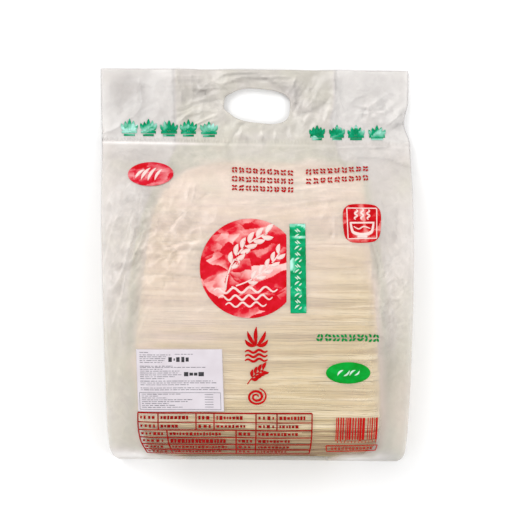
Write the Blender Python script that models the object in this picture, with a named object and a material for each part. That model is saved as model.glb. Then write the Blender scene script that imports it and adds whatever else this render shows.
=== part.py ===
"""A 2.5 kg pack of dried rice vermicelli in a side-gusseted film bag, lying on its back.

The bag is one closed solid: a filled body that is thickest at the foot, a side gusset folded in
along each edge, a thin lip where the foot is sealed, a cross seal above the noodles, and a flat
carrying head with a hand hole punched through it. A paper label lies on the front.

Metres, +Z up. The origin is the middle of the footprint, on the surface that the bag lies on.
+Y runs from the sealed foot to the carrying head, and +Z out of the printed front.
"""

import math

import bmesh
import bpy
import numpy as np

MM = 0.001

# Overall size, in millimetres
LENGTH = 408.0
HALF_LENGTH = LENGTH / 2
HEAD_WIDTH = 324.0
HALF_WIDTH = HEAD_WIDTH / 2
SEAL_Y = 126.0
BODY_THICKNESS = 76.0
HEAD_THICKNESS = 2.4
LIP_THICKNESS = 3.0

# Each edge of the bag, as (y, distance from the middle line): the bag narrows towards its foot,
# and the right side of the head is nipped in above the seal
LEFT_EDGE = ((-204, 143), (-200, 147), (-186, 150), (-100, 154), (0, 157), (SEAL_Y, 160), (204, HALF_WIDTH))
RIGHT_EDGE = (
    (-204, 148), (-200, 152), (-186, 154), (-100, 159), (20, HALF_WIDTH), (SEAL_Y, 161),
    (149, 155), (172, 159.5), (204, 160),
)

# Heights along the bag, as (y, z): the crown of the front, the front crease, and the back under
# its crease and at its middle. They meet at the foot's lip and run side by side over the head.
LIP_FRONT = (-HALF_LENGTH, 7.0)
LIP_BACK = (-HALF_LENGTH, LIP_FRONT[1] - LIP_THICKNESS)
HEAD_FRONT = ((SEAL_Y, 12.6), (140, 11), (HALF_LENGTH, 6))
HEAD_BACK = tuple((y, z - HEAD_THICKNESS) for y, z in HEAD_FRONT)
CROWN = (
    LIP_FRONT, (-200, 24), (-194, 52), (-184, 69), (-160, 75), (-110, BODY_THICKNESS), (-20, 73),
    (45, 62), (85, 43), (108, 24), *HEAD_FRONT,
)
FRONT_CREASE = (
    LIP_FRONT, (-200, 17), (-190, 34), (-170, 43), (-60, 46), (30, 42), (80, 30), (108, 18), *HEAD_FRONT,
)
BACK_CREASE = (LIP_BACK, (-196, 7), (-170, 8), (60, 8), (100, 9), *HEAD_BACK)
BACK_MIDDLE = (LIP_BACK, (-196, 0), (90, 0), (108, 3), *HEAD_BACK)

SHOULDER_WIDTH = 58.0    # from the crease to the level part of the front
SHOULDER_POWER = 2.1     # over 1, so that the shoulder is round
BACK_ROUNDING = 26.0     # from the crease to the level part of the back
GUSSET_DEPTH = 20.0      # how far the side gusset folds in
GUSSET_ENDS = (-190.0, 100.0)
GUSSET_FADE = 14.0       # over this length each end of the fold runs out
GUSSET_BEND = 0.55       # how far down its slope a fold has its extra row of points

# Gentle waves in the film, as (height, wavelength along x, wavelength along y, phase)
BODY_WAVES = ((0.9, 118.0, 171.0, 0.4), (0.6, -83.0, 97.0, 2.1), (0.4, 61.0, -74.0, 4.0))
HEAD_WAVES = ((1.6, 96.0, -210.0, 1.1), (1.0, -57.0, 88.0, 3.3))
HEAD_BLEND = (-20.0, 30.0)   # where the head's waves take over: start, from the seal, and length
FOOT_BLEND = 30.0            # length over which waves grow from the foot's lip
SEAL_CALM = (0.8, 9.0)       # share of the waves that the seal takes away, and how far it reaches

# Hand hole in the head
HOLE_CENTRE = (1.0, 166.0)
HOLE_HALF = (34.5, 18.0)
HOLE_CORNER_POWER = 3.2
HOLE_TILT = math.radians(-5.0)
HOLE_POINTS = 40
CUTTER_HEIGHTS = (-20.0, 40.0)

# Paper label on the front
LABEL_SIZE = (86.0, 62.0)
LABEL_CENTRE = (-78.0, -120.5)
LABEL_TILT = math.radians(1.3)
LABEL_THICKNESS = 0.35
LABEL_GAP = 0.35
LABEL_CELLS = (14, 10)

# How finely the bag's skin is divided, and where along it the spacing changes
FOOT_END = -168.0
BODY_END = 112.0
BACK_POINTS = 17
FRONT_POINTS = 2 * BACK_POINTS - 1
FOLD_POINTS = 3
STATIONS_FOOT = 8
STATIONS_BODY = 26
STATIONS_HEAD = 13


def curve_through(knots, at):
    """Height of a smooth curve through the knots (position, value), by Hermite pieces whose slope
    at each knot is the mean of its neighbours' and is zero where the curve turns."""
    place, value = np.array(knots, float).T
    chord = np.diff(value) / np.diff(place)
    slope = np.zeros(len(place))
    same_way = chord[:-1] * chord[1:] > 0
    slope[1:-1][same_way] = 2 * (chord[:-1] * chord[1:])[same_way] / (chord[:-1] + chord[1:])[same_way]
    at = np.clip(np.asarray(at, float), place[0], place[-1])
    i = np.clip(np.searchsorted(place, at) - 1, 0, len(place) - 2)
    step = place[i + 1] - place[i]
    t = (at - place[i]) / step
    rise = value[i + 1] - value[i]
    return (
        value[i] + rise * (3 * t**2 - 2 * t**3)
        + step * slope[i] * (t - 2 * t**2 + t**3)
        + step * slope[i + 1] * (t**3 - t**2)
    )


def smooth_step(t):
    """0 up to t = 0, 1 from t = 1, and a smooth rise between."""
    t = np.clip(t, 0.0, 1.0)
    return t * t * (3 - 2 * t)


def waves(table, x, y):
    """Sum of plane waves in the film."""
    return sum(
        height * np.sin(2 * math.pi * (x / along_x + y / along_y) + phase)
        for height, along_x, along_y, phase in table
    )


def head_share(y):
    """0 on the filled body and 1 on the flat head."""
    start, length = HEAD_BLEND
    return smooth_step((y - SEAL_Y - start) / length)


def film_waves(x, y):
    """Waves of the whole film, stilled at the foot lip, the seal and the head's free edge."""
    foot = smooth_step((y + HALF_LENGTH) / FOOT_BLEND)
    calm, reach = SEAL_CALM
    at_seal = 1 - calm * np.exp(-(((y - SEAL_Y) / reach) ** 2))
    share = head_share(y)
    return foot * at_seal * ((1 - share) * waves(BODY_WAVES, x, y) + share * waves(HEAD_WAVES, x, y))


def from_edge(x, y):
    """Distance in from the nearer side crease."""
    return np.minimum(x + curve_through(LEFT_EDGE, y), curve_through(RIGHT_EDGE, y) - x)


def front_height(x, y):
    """Height of the bag's front: from the crease it rises over a rounded shoulder to the crown."""
    inward = np.clip(from_edge(x, y) / SHOULDER_WIDTH, 0, 1)
    share = 1 - (1 - inward) ** SHOULDER_POWER
    low = curve_through(FRONT_CREASE, y)
    return low + (curve_through(CROWN, y) - low) * share + film_waves(x, y) * smooth_step(inward * 2)


def back_height(x, y):
    """Height of the bag's back: flat on the table, turned up at the sides and towards the seals.
    On the head it follows the front at the head's thickness."""
    outward = 1 - smooth_step(from_edge(x, y) / BACK_ROUNDING)
    middle = curve_through(BACK_MIDDLE, y)
    resting = middle + (curve_through(BACK_CREASE, y) - middle) * outward
    return resting + head_share(y) * film_waves(x, y) * smooth_step(from_edge(x, y) / SHOULDER_WIDTH * 2)


def gusset_depth(y):
    """How far in the side gusset reaches at this station."""
    low, high = GUSSET_ENDS
    return GUSSET_DEPTH * smooth_step((y - low) / GUSSET_FADE) * smooth_step((high - y) / GUSSET_FADE)


def spread(count):
    """Places from 0 to 1, drawn together towards both ends."""
    t = np.linspace(0, 1, count)
    return 0.5 * t + 0.25 * (1 - np.cos(math.pi * t))


def section(y):
    """Ring of points round the bag at one station: front from left to right, right gusset, back
    from right to left, left gusset."""
    left, right = -curve_through(LEFT_EDGE, y), curve_through(RIGHT_EDGE, y)
    front_x = left + (right - left) * spread(FRONT_POINTS)
    back_x = left + (right - left) * spread(BACK_POINTS)
    front = [(x, front_height(x, y)) for x in front_x]
    back = [(x, back_height(x, y)) for x in back_x[::-1]]
    right_fold = side_fold(right, -gusset_depth(y), front[-1][1], back[0][1])
    left_fold = side_fold(left, gusset_depth(y), front[0][1], back[-1][1])
    return [(x, y, z) for x, z in front + right_fold + back + left_fold[::-1]]


def side_fold(edge, depth, upper, lower):
    """Points (x, z) of one folded side, from just under the front crease to just over the back one."""
    middle = (upper + lower) / 2
    return [
        (edge + depth * GUSSET_BEND, upper + (middle - upper) * GUSSET_BEND),
        (edge + depth, middle),
        (edge + depth * GUSSET_BEND, lower + (middle - lower) * GUSSET_BEND),
    ]


def stations():
    """Places along the bag of its rings of points, closer together at the foot and the head."""
    foot = np.linspace(-HALF_LENGTH, FOOT_END, STATIONS_FOOT, endpoint=False)
    body = np.linspace(FOOT_END, BODY_END, STATIONS_BODY, endpoint=False)
    head = np.linspace(BODY_END, HALF_LENGTH, STATIONS_HEAD)
    return np.concatenate([foot, body, head])


def new_object(name, bm, material):
    """Turns a bmesh into a named object, its normals made to face outwards."""
    bmesh.ops.recalc_face_normals(bm, faces=bm.faces)
    mesh = bpy.data.meshes.new(name)
    bm.to_mesh(mesh)
    bm.free()
    if material:
        mesh.materials.append(material)
    obj = bpy.data.objects.new(name, mesh)
    bpy.context.scene.collection.objects.link(obj)
    return obj


def plain_material(name, colour, roughness):
    material = bpy.data.materials.new(name)
    material.use_nodes = True
    shader = material.node_tree.nodes["Principled BSDF"]
    shader.inputs["Base Color"].default_value = (*colour, 1.0)
    shader.inputs["Roughness"].default_value = roughness
    shader.inputs["Metallic"].default_value = 0.0
    return material


def close_end(bm, ring):
    """Closes an end of the bag with fans of triangles, one fan from every second point of the
    front. The back has half as many points as the front."""
    front = ring[:FRONT_POINTS]
    right_fold = ring[FRONT_POINTS:FRONT_POINTS + FOLD_POINTS]
    back = ring[FRONT_POINTS + FOLD_POINTS:-FOLD_POINTS][::-1]
    left_fold = ring[-FOLD_POINTS:]
    for k in range(BACK_POINTS - 1):
        rim = [back[k], back[k + 1]]
        if k == 0:
            rim = left_fold[::-1] + rim
        if k == BACK_POINTS - 2:
            rim = rim + right_fold[::-1]
        rim = [front[2 * k], *rim, front[2 * k + 2]]
        for this, following in zip(rim, rim[1:]):
            bm.faces.new((front[2 * k + 1], this, following))


def make_bag():
    """The filled bag, lofted through its sections and closed at the foot lip and the head's edge."""
    bm = bmesh.new()
    rings = [[bm.verts.new(np.array(point) * MM) for point in section(y)] for y in stations()]
    for lower, upper in zip(rings, rings[1:]):
        for i in range(len(lower)):
            bm.faces.new((lower[i - 1], lower[i], upper[i], upper[i - 1]))
    close_end(bm, rings[0])
    close_end(bm, rings[-1])
    bmesh.ops.triangulate(bm, faces=bm.faces)
    film = plain_material("film_bag", (0.62, 0.55, 0.43), 0.30)
    return new_object("filled_bag", bm, film)


def make_hole_cutter():
    """Rounded tool that punches the hand hole straight through the head."""
    bm = bmesh.new()
    outline = []
    for k in range(HOLE_POINTS):
        turn = 2 * math.pi * k / HOLE_POINTS
        cos, sin = math.cos(turn), math.sin(turn)
        along = math.copysign(abs(cos) ** (2 / HOLE_CORNER_POWER), cos) * HOLE_HALF[0]
        across = math.copysign(abs(sin) ** (2 / HOLE_CORNER_POWER), sin) * HOLE_HALF[1]
        x = HOLE_CENTRE[0] + along * math.cos(HOLE_TILT) - across * math.sin(HOLE_TILT)
        y = HOLE_CENTRE[1] + along * math.sin(HOLE_TILT) + across * math.cos(HOLE_TILT)
        outline.append(bm.verts.new((x * MM, y * MM, CUTTER_HEIGHTS[0] * MM)))
    face = bm.faces.new(outline)
    raised = bmesh.ops.extrude_face_region(bm, geom=[face])
    top = [v for v in raised["geom"] if isinstance(v, bmesh.types.BMVert)]
    bmesh.ops.translate(bm, verts=top, vec=(0, 0, (CUTTER_HEIGHTS[1] - CUTTER_HEIGHTS[0]) * MM))
    cutter = new_object("hand_hole_cutter", bm, None)
    cutter.hide_render = True
    cutter.display_type = "WIRE"
    return cutter


def punch(obj, cutter):
    cut = obj.modifiers.new("hand_hole", "BOOLEAN")
    cut.operation = "DIFFERENCE"
    cut.object = cutter


def make_label():
    """Paper label that follows the front of the bag, a hair above it."""
    bm = bmesh.new()
    bmesh.ops.create_grid(bm, x_segments=LABEL_CELLS[0], y_segments=LABEL_CELLS[1], size=0.5)
    for vert in bm.verts:
        along, across = vert.co.x * LABEL_SIZE[0], vert.co.y * LABEL_SIZE[1]
        x = LABEL_CENTRE[0] + along * math.cos(LABEL_TILT) - across * math.sin(LABEL_TILT)
        y = LABEL_CENTRE[1] + along * math.sin(LABEL_TILT) + across * math.cos(LABEL_TILT)
        vert.co = (x * MM, y * MM, (front_height(x, y) + LABEL_GAP) * MM)
    paper = plain_material("label_paper", (0.80, 0.79, 0.82), 0.75)
    label = new_object("label", bm, paper)
    sheet = label.modifiers.new("paper", "SOLIDIFY")
    sheet.thickness = LABEL_THICKNESS * MM
    sheet.offset = 1.0
    return label


def main():
    for obj in list(bpy.data.objects):
        bpy.data.objects.remove(obj)
    bag = make_bag()
    punch(bag, make_hole_cutter())
    make_label()


main()
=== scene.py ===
"""A 2.5 kg pack of dried rice vermicelli: skeins of rice noodles in a printed, side-gusseted film
bag with a carrying head, lying on its back. Metres, +Z up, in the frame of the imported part.
"""

import math

import bpy
import numpy as np
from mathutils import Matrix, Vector


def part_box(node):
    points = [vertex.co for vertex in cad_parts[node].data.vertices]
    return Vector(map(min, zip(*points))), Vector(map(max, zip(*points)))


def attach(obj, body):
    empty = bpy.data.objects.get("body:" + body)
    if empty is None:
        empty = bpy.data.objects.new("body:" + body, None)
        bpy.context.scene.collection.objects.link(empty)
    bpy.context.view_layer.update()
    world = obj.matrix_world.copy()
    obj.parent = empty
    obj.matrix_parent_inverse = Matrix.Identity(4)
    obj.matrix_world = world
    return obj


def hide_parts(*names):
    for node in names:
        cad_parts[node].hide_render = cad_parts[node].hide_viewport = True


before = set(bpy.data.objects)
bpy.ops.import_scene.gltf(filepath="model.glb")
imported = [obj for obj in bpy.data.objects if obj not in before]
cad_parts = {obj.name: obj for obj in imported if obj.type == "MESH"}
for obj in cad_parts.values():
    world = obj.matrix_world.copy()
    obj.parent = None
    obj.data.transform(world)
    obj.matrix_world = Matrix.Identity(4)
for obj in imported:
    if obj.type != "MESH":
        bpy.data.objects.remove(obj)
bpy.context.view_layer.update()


# --------------------------------------------------------------------------------------------
# The core of the noodle block
# Rice vermicelli is dried in skeins and packed as one flat block that fills the bag. The core is
# the inside of that block: pressed strands that only show through gaps between the outer ones.
# --------------------------------------------------------------------------------------------

MM = 0.001
HALF_LENGTH = round(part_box("filled_bag")[1].y / MM, 3)
SEAL_Y = 126.0

# The bag's filled form in millimetres: how far out its edges lie, and the heights of its front,
# each at a place y along it
LEFT_EDGE = (
    (-204, 143), (-200, 147), (-186, 150), (-100, 154), (0, 157), (SEAL_Y, 160), (204, 162),
)
RIGHT_EDGE = (
    (-204, 148), (-200, 152), (-186, 154), (-100, 159), (20, 162), (SEAL_Y, 161),
    (149, 155), (172, 159.5), (204, 160),
)
HEAD_FRONT = ((SEAL_Y, 12.6), (140, 11), (204, 6))
CROWN = (
    (-204, 7), (-200, 24), (-194, 52), (-184, 69), (-160, 75), (-110, 76), (-20, 73),
    (45, 62), (85, 43), (108, 24), *HEAD_FRONT,
)
FRONT_CREASE = (
    (-204, 7), (-200, 17), (-190, 34), (-170, 43), (-60, 46), (30, 42), (80, 30), (108, 18), *HEAD_FRONT,
)
LEAN = 0.009              # how far the cross lines fall for each millimetre to the right
SHOULDER_WIDTH = 58.0     # from the side crease in to where the front is as high as its middle
SHOULDER_POWER = 2.1      # how full the shoulder between them is
BODY_WAVES = ((0.9, 118.0, 171.0, 0.4), (0.6, -83.0, 97.0, 2.1), (0.4, 61.0, -74.0, 4.0))
HEAD_WAVES = ((1.6, 96.0, -210.0, 1.1), (1.0, -57.0, 88.0, 3.3))

# The block inside it
BLOCK_FOOT = -197.0
BLOCK_HEAD = 105.0
BLOCK_MIDDLE = (BLOCK_FOOT + BLOCK_HEAD) / 2
BLOCK_REACH = (BLOCK_HEAD - BLOCK_FOOT) / 2
BLOCK_LEFT = (
    (-191, 110), (-180, 113), (-150, 121), (-90, 123), (-40, 118), (10, 112), (55, 104), (78, 93),
    (95, 74), (105, 52),
)
BLOCK_RIGHT = (
    (-191, 118), (-180, 124), (-150, 127), (-60, 124), (-10, 120), (55, 113), (85, 112), (105, 100),
)
BLOCK_CLEARANCE = 2.4     # from the film's form down to the outer strands
BLOCK_BOTTOM = 1.6
BLOCK_HALF = (120.0, 148.0, 33.0)   # nominal half width, half length and half thickness
SIDE_ROUNDING = 20.0
END_ROUNDING = 15.0
CORE_DEPTH = 3.4
CORE_STATIONS = 150
CORE_AROUND = 180


def curve_through(knots, at):
    """Height of a smooth curve through the knots (position, value), by Hermite pieces whose slope
    at each knot is the mean of its neighbours' and is zero where the curve turns."""
    place, value = np.array(knots, float).T
    chord = np.diff(value) / np.diff(place)
    slope = np.zeros(len(place))
    same_way = chord[:-1] * chord[1:] > 0
    slope[1:-1][same_way] = 2 * (chord[:-1] * chord[1:])[same_way] / (chord[:-1] + chord[1:])[same_way]
    at = np.clip(np.asarray(at, float), place[0], place[-1])
    i = np.clip(np.searchsorted(place, at) - 1, 0, len(place) - 2)
    step = place[i + 1] - place[i]
    t = (at - place[i]) / step
    rise = value[i + 1] - value[i]
    return (
        value[i] + rise * (3 * t**2 - 2 * t**3)
        + step * slope[i] * (t - 2 * t**2 + t**3)
        + step * slope[i + 1] * (t**3 - t**2)
    )


def smooth_step(t):
    """0 up to t = 0, 1 from t = 1, and a smooth rise between."""
    t = np.clip(t, 0.0, 1.0)
    return t * t * (3 - 2 * t)


def waves(table, x, y):
    """Sum of plane waves, each (height, wavelength along x, wavelength along y, phase)."""
    return sum(
        height * np.sin(2 * math.pi * (x / along_x + y / along_y) + phase)
        for height, along_x, along_y, phase in table
    )


def head_share(y):
    """0 on the filled body and 1 on the flat head."""
    return smooth_step((y - SEAL_Y + 20) / 30)


def film_waves(x, y):
    """Waves of the whole film, stilled at the foot lip, the seal and the head's free edge."""
    foot = smooth_step((y + HALF_LENGTH) / 30)
    at_seal = 1 - 0.8 * np.exp(-(((y - SEAL_Y) / 9) ** 2))
    share = head_share(y)
    return foot * at_seal * ((1 - share) * waves(BODY_WAVES, x, y) + share * waves(HEAD_WAVES, x, y))


def from_edge(x, y):
    """Distance in from the nearer side crease."""
    return np.minimum(x + curve_through(LEFT_EDGE, y), curve_through(RIGHT_EDGE, y) - x)


def front_form(x, y):
    """Height of the taut front: from the crease it rises over a rounded shoulder to the crown."""
    inward = np.clip(from_edge(x, y) / SHOULDER_WIDTH, 0, 1)
    share = 1 - (1 - inward) ** SHOULDER_POWER
    low = curve_through(FRONT_CREASE, y)
    return low + (curve_through(CROWN, y) - low) * share + film_waves(x, y) * smooth_step(inward * 2)


def soft_noise(u, v, seed):
    """Smooth random height from -1 to 1: random values at the whole numbers of (u, v), and a
    smooth blend of the four nearest between them."""
    table = np.random.default_rng(seed).uniform(-1, 1, (97, 89))
    column, row = np.floor(u).astype(int), np.floor(v).astype(int)
    across, along = smooth_step(u - column), smooth_step(v - row)
    left, right, low, high = column % 97, (column + 1) % 97, row % 89, (row + 1) % 89
    lower = table[left, low] * (1 - across) + table[right, low] * across
    upper = table[left, high] * (1 - across) + table[right, high] * across
    return lower * (1 - along) + upper * along


def rounded_rectangle(distance, half_width, half_height, radius):
    """Points (across, up) on a rounded rectangle, at a distance round it from the middle of its
    right side: the centre of each corner's arc, plus the radius times the direction faced."""
    rise, level, bend = half_height - radius, 2 * (half_width - radius), math.pi * radius / 2
    corners = np.cumsum([0, rise, bend, level, bend, 2 * rise, bend, level, bend, rise])
    facing = np.radians(np.interp(distance, corners, [0, 0, 90, 90, 180, 180, 270, 270, 360, 360]))
    side = np.array([1, 1, 1, -1, -1, -1, -1, 1, 1, 1]) * (half_width - radius)
    height = np.array([0, 1, 1, 1, 1, -1, -1, -1, -1, 0]) * rise
    across = np.interp(distance, corners, side) + radius * np.cos(facing)
    up = np.interp(distance, corners, height) + radius * np.sin(facing)
    return across, up


def rectangle_girth(half_width, half_height, radius):
    """Distance once round a rounded rectangle."""
    return 4 * (half_width + half_height - 2 * radius) + 2 * math.pi * radius


def end_profile(distance):
    """Over the block from its foot to its head: (place along it, from -1 to 1, and the share of
    the thickness there), half of a rounded rectangle."""
    along, up = rounded_rectangle(distance, BLOCK_HALF[1], BLOCK_HALF[2], END_ROUNDING)
    return -along / BLOCK_HALF[1], up / BLOCK_HALF[2]


def side_profile(distance):
    """Round the block, seen from its foot: (sideways, up), each from -1 to 1."""
    across, up = rounded_rectangle(distance, BLOCK_HALF[0], BLOCK_HALF[2], SIDE_ROUNDING)
    return across / BLOCK_HALF[0], up / BLOCK_HALF[2]


END_SPAN = rectangle_girth(BLOCK_HALF[1], BLOCK_HALF[2], END_ROUNDING) / 2
SIDE_GIRTH = rectangle_girth(BLOCK_HALF[0], BLOCK_HALF[2], SIDE_ROUNDING)


def block_point(y, thickness_share, sideways, up, depth):
    """Point (x, y, z) this deep in the block: across, from the left border to the right one, and
    up, from the level it lies on to a little under the film."""
    left, right = curve_through(BLOCK_LEFT, y), curve_through(BLOCK_RIGHT, y)
    width_share = thickness_share**0.3
    x = (right - left) / 2 + ((right + left) / 2 - depth) * width_share * sideways
    top = front_form(x, y) - BLOCK_CLEARANCE - depth
    bottom = BLOCK_BOTTOM + depth
    z = (top + bottom) / 2 + (top - bottom) / 2 * thickness_share * up
    return np.stack(np.broadcast_arrays(x, y - LEAN * x, z), axis=-1)


def ring_faces(rings, around):
    """Quads between rings of points that each close on themselves."""
    ring, place = np.meshgrid(np.arange(rings - 1), np.arange(around), indexing="ij")
    following = (place + 1) % around
    here, beside = ring * around + place, ring * around + following
    return np.stack([here, beside, beside + around, here + around], axis=-1).reshape(-1, 4)


def fan_faces(first, around, centre, flip):
    """Triangles from one centre point to a ring of points."""
    place = np.arange(around)
    fan = np.stack([first + place, first + (place + 1) % around, np.full(around, centre)], axis=-1)
    return fan[:, ::-1] if flip else fan


def make_piece(name, points, faces, material, values=None):
    """A smooth-shaded object at the origin from points in millimetres and arrays of faces with
    three or four corners. Values are numbers kept at each point for the material."""
    mesh = bpy.data.meshes.new(name)
    corners = np.concatenate([np.asarray(part).ravel() for part in faces])
    sizes = np.concatenate([np.full(len(part), part.shape[1]) for part in faces])
    mesh.vertices.add(len(points))
    mesh.vertices.foreach_set("co", (np.asarray(points) * MM).astype(np.float32).ravel())
    mesh.loops.add(len(corners))
    mesh.loops.foreach_set("vertex_index", corners.astype(np.int32))
    mesh.polygons.add(len(sizes))
    starts = np.concatenate([[0], np.cumsum(sizes)[:-1]])
    mesh.polygons.foreach_set("loop_start", starts.astype(np.int32))
    mesh.polygons.foreach_set("use_smooth", np.ones(len(sizes), bool))
    for key, value in (values or {}).items():
        kept = mesh.attributes.new(key, "FLOAT", "POINT")
        kept.data.foreach_set("value", np.ravel(value).astype(np.float32))
    mesh.update(calc_edges=True)
    mesh.validate()
    mesh.materials.append(material)
    piece = bpy.data.objects.new(name, mesh)
    bpy.context.scene.collection.objects.link(piece)
    return piece


def linear(code):
    """Linear colour of an sRGB hex code."""
    parts = np.array([int(code[i:i + 2], 16) for i in (1, 3, 5)]) / 255
    return (*np.where(parts <= 0.04045, parts / 12.92, ((parts + 0.055) / 1.055) ** 2.4), 1.0)


def add_node(tree, kind, inputs=None, stops=(), **settings):
    """Adds a shader node: sets its properties, sets or wires its inputs, where a node stands for
    its first output, and gives a colour ramp its stops, as (place, hex code) from low to high."""
    node = tree.nodes.new("ShaderNode" + kind)
    for key, value in settings.items():
        setattr(node, key, value)
    for key, value in (inputs or {}).items():
        if isinstance(value, bpy.types.Node):
            value = value.outputs[0]
        if isinstance(value, bpy.types.NodeSocket):
            tree.links.new(value, node.inputs[key])
        else:
            node.inputs[key].default_value = value
    if stops:
        ramp = node.color_ramp.elements
        ramp[0].position, ramp[1].position = stops[0][0], stops[-1][0]
        ramp[0].color, ramp[1].color = linear(stops[0][1]), linear(stops[-1][1])
        for place, code in stops[1:-1]:
            ramp.new(place).color = linear(code)
    return node


def new_material(name):
    """An empty material and its node tree."""
    material = bpy.data.materials.new(name)
    material.use_nodes = True
    material.node_tree.nodes.clear()
    return material, material.node_tree


def noodle_material():
    """Dried rice starch, extruded and air-dried: matt, cream white, a little darker and more
    yellow where a strand is thin or was toasted by the drier, with a fine dusty grain. Its tone
    is also painted darker as shade in the core, in the deeper layers and round the foot."""
    material, tree = new_material("dried_rice_noodle")
    place = add_node(tree, "TexCoord").outputs["Object"]
    tone = add_node(tree, "Attribute", attribute_name="tone").outputs["Fac"]
    streaks = add_node(tree, "Mapping", {"Vector": place, "Scale": (12, 300, 300)})
    patchy = add_node(tree, "TexNoise", {"Vector": streaks, "Scale": 1.0, "Detail": 3.0})
    mixed = add_node(tree, "Math", {0: patchy, 1: 0.6, 2: tone}, operation="MULTIPLY_ADD")
    # The dark brown low end serves both strands that differ at random and the painted shade of the core, the
    # deeper layers and the foot
    cream = ((0.10, "#8E6E4C"), (0.60, "#DAC699"), (1.00, "#F0E4C8"))
    colour = add_node(tree, "ValToRGB", {"Fac": mixed}, cream)
    grain = add_node(tree, "TexNoise", {"Vector": place, "Scale": 1500.0, "Detail": 2.0})
    bump = add_node(tree, "Bump", {"Height": grain, "Strength": 0.3, "Distance": 0.0002})
    shader = add_node(
        tree, "BsdfPrincipled", {
            "Base Color": colour, "Roughness": 0.65, "Specular IOR Level": 0.3, "Normal": bump,
        }
    )
    add_node(tree, "OutputMaterial", {"Surface": shader})
    return material


def make_core(material):
    """The closed core, ridged along x by the strands pressed into it."""
    place, share = end_profile(np.linspace(0, END_SPAN, CORE_STATIONS)[1:-1, None])
    sideways, up = side_profile(np.linspace(0, SIDE_GIRTH, CORE_AROUND, endpoint=False)[None, :])
    y = BLOCK_MIDDLE + place * (BLOCK_REACH - CORE_DEPTH) + 0 * sideways
    ridges = 0.5 * soft_noise(BLOCK_HALF[0] * sideways / 50, y / 1.7, 11)
    points = block_point(y, share, sideways, up, CORE_DEPTH - ridges)
    rings, around = points.shape[:2]
    ends = points[[0, -1]].mean(axis=1)
    count = rings * around
    faces = (
        ring_faces(rings, around)[:, ::-1],
        fan_faces(0, around, count, False),
        fan_faces(count - around, around, count + 1, True),
    )
    points = np.concatenate([points.reshape(-1, 3), ends])
    # The core is painted darker than the outer strands: painted shade in the gaps between them
    tone = 0.18 + 0.1 * soft_noise(points[:, 0] / 30, points[:, 1] / 2, 12)
    return make_piece("noodle_core", points, faces, material, {"tone": tone})


noodle = noodle_material()
core = make_core(noodle)
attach(core, "root")


# --------------------------------------------------------------------------------------------
# The outer skeins
# Each strand is an endless loop about 1.2 mm thick: across the front, down round the side of the
# block and back under it, as a skein lies when it is dried over a rod and folded flat.
# --------------------------------------------------------------------------------------------

STRAND_RADIUS = 0.60
STRAND_PITCH = 1.10
STRAND_SIDES = 5
LOOP_POINTS = 76
LAYER_DEPTHS = (0.6, 1.5, 2.6)
BUNDLE_WIDTH = 12.0       # strands lie in bundles about this wide
BUNDLE_GAP = 0.22         # the share by which they close up in the middle of a bundle


def skein_lines(layer, depth, rng):
    """Centre lines (strand, point, 3) of one layer of loops, drawn together into bundles that
    wander a little, and the tone of each."""
    count = int(END_SPAN / STRAND_PITCH)
    strand = np.arange(count)[:, None]
    even = (np.arange(count) + 0.5 + rng.uniform(-0.3, 0.3, count)) * END_SPAN / count
    bundle = 2 * math.pi * (even / BUNDLE_WIDTH + 0.8 * soft_noise(even / 31, even * 0 + layer, 21))
    drawn = even - BUNDLE_GAP * BUNDLE_WIDTH / (2 * math.pi) * np.sin(bundle)
    place, share = end_profile(np.clip(drawn, 0.3, END_SPAN - 0.3)[:, None])
    sideways, up = side_profile(np.linspace(0, SIDE_GIRTH, LOOP_POINTS, endpoint=False)[None, :])
    x = BLOCK_HALF[0] * sideways
    side = np.where(up > 0, 0, 40)
    y = BLOCK_MIDDLE + place * (BLOCK_REACH - depth)
    sway = 4.5 * soft_noise(x / 110 + side, drawn[:, None] / 30 + 9 * layer, 22)
    sway = sway + 1.0 * soft_noise(x / 40 + side, drawn[:, None] / 7 + 9 * layer, 23)
    sway = sway + 0.35 * soft_noise(x / 17 + side, strand * 1.37 + 5 * layer, 24)
    y = y + share**0.5 * sway
    heave = 0.7 * soft_noise(x / 70 + side, drawn[:, None] / 6 + 9 * layer, 25)
    heave = heave + 0.45 * (1 - np.cos(bundle))[:, None]
    heave = heave + 0.25 * soft_noise(x / 30 + side, strand * 1.7, 26)
    lines = block_point(y, share, sideways, up, depth + heave)
    tone = 0.44 + 0.10 * rng.uniform(-1, 1, count)
    # Deeper layers are painted a little darker, as painted shade between the strands above them
    tone = tone + 0.42 * soft_noise(drawn / 5, drawn * 0 + layer, 27) - 0.06 * layer
    # Painted shade: the strands round the foot end are darker, as the block's end lies in shade, and less so
    # at its very edge
    foot = smooth_step((78 - drawn) / 34) * (0.55 + 0.45 * smooth_step((drawn - 6) / 26))
    tone = tone - foot * (0.55 + 0.18 * rng.uniform(-1, 1, count))
    return lines, tone


def tubes(lines, radius, sides):
    """Round tubes along closed lines (strand, point, 3). At each point the ring is spanned by the
    direction square to the line that is nearest to y, and the one square to both."""
    tangent = np.roll(lines, -1, axis=1) - np.roll(lines, 1, axis=1)
    tangent = tangent / np.linalg.norm(tangent, axis=-1, keepdims=True)
    across = np.array([0.0, 1.0, 0.0]) - tangent * tangent[..., 1:2]
    across = across / np.linalg.norm(across, axis=-1, keepdims=True)
    outward = np.cross(tangent, across)
    angle = 2 * math.pi * np.arange(sides) / sides
    ring = across[..., None, :] * np.cos(angle)[:, None] + outward[..., None, :] * np.sin(angle)[:, None]
    return lines[..., None, :] + radius * ring


def tube_faces(strands, along, sides):
    """Quads of closed tubes, point by point and side by side."""
    strand, step, side = np.meshgrid(np.arange(strands), np.arange(along), np.arange(sides), indexing="ij")
    ahead, beside = (step + 1) % along, (side + 1) % sides
    places = ((step, side), (step, beside), (ahead, beside), (ahead, side))
    corners = [(strand * along + point) * sides + turn for point, turn in places]
    return np.stack(corners, axis=-1).reshape(-1, 4)


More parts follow.
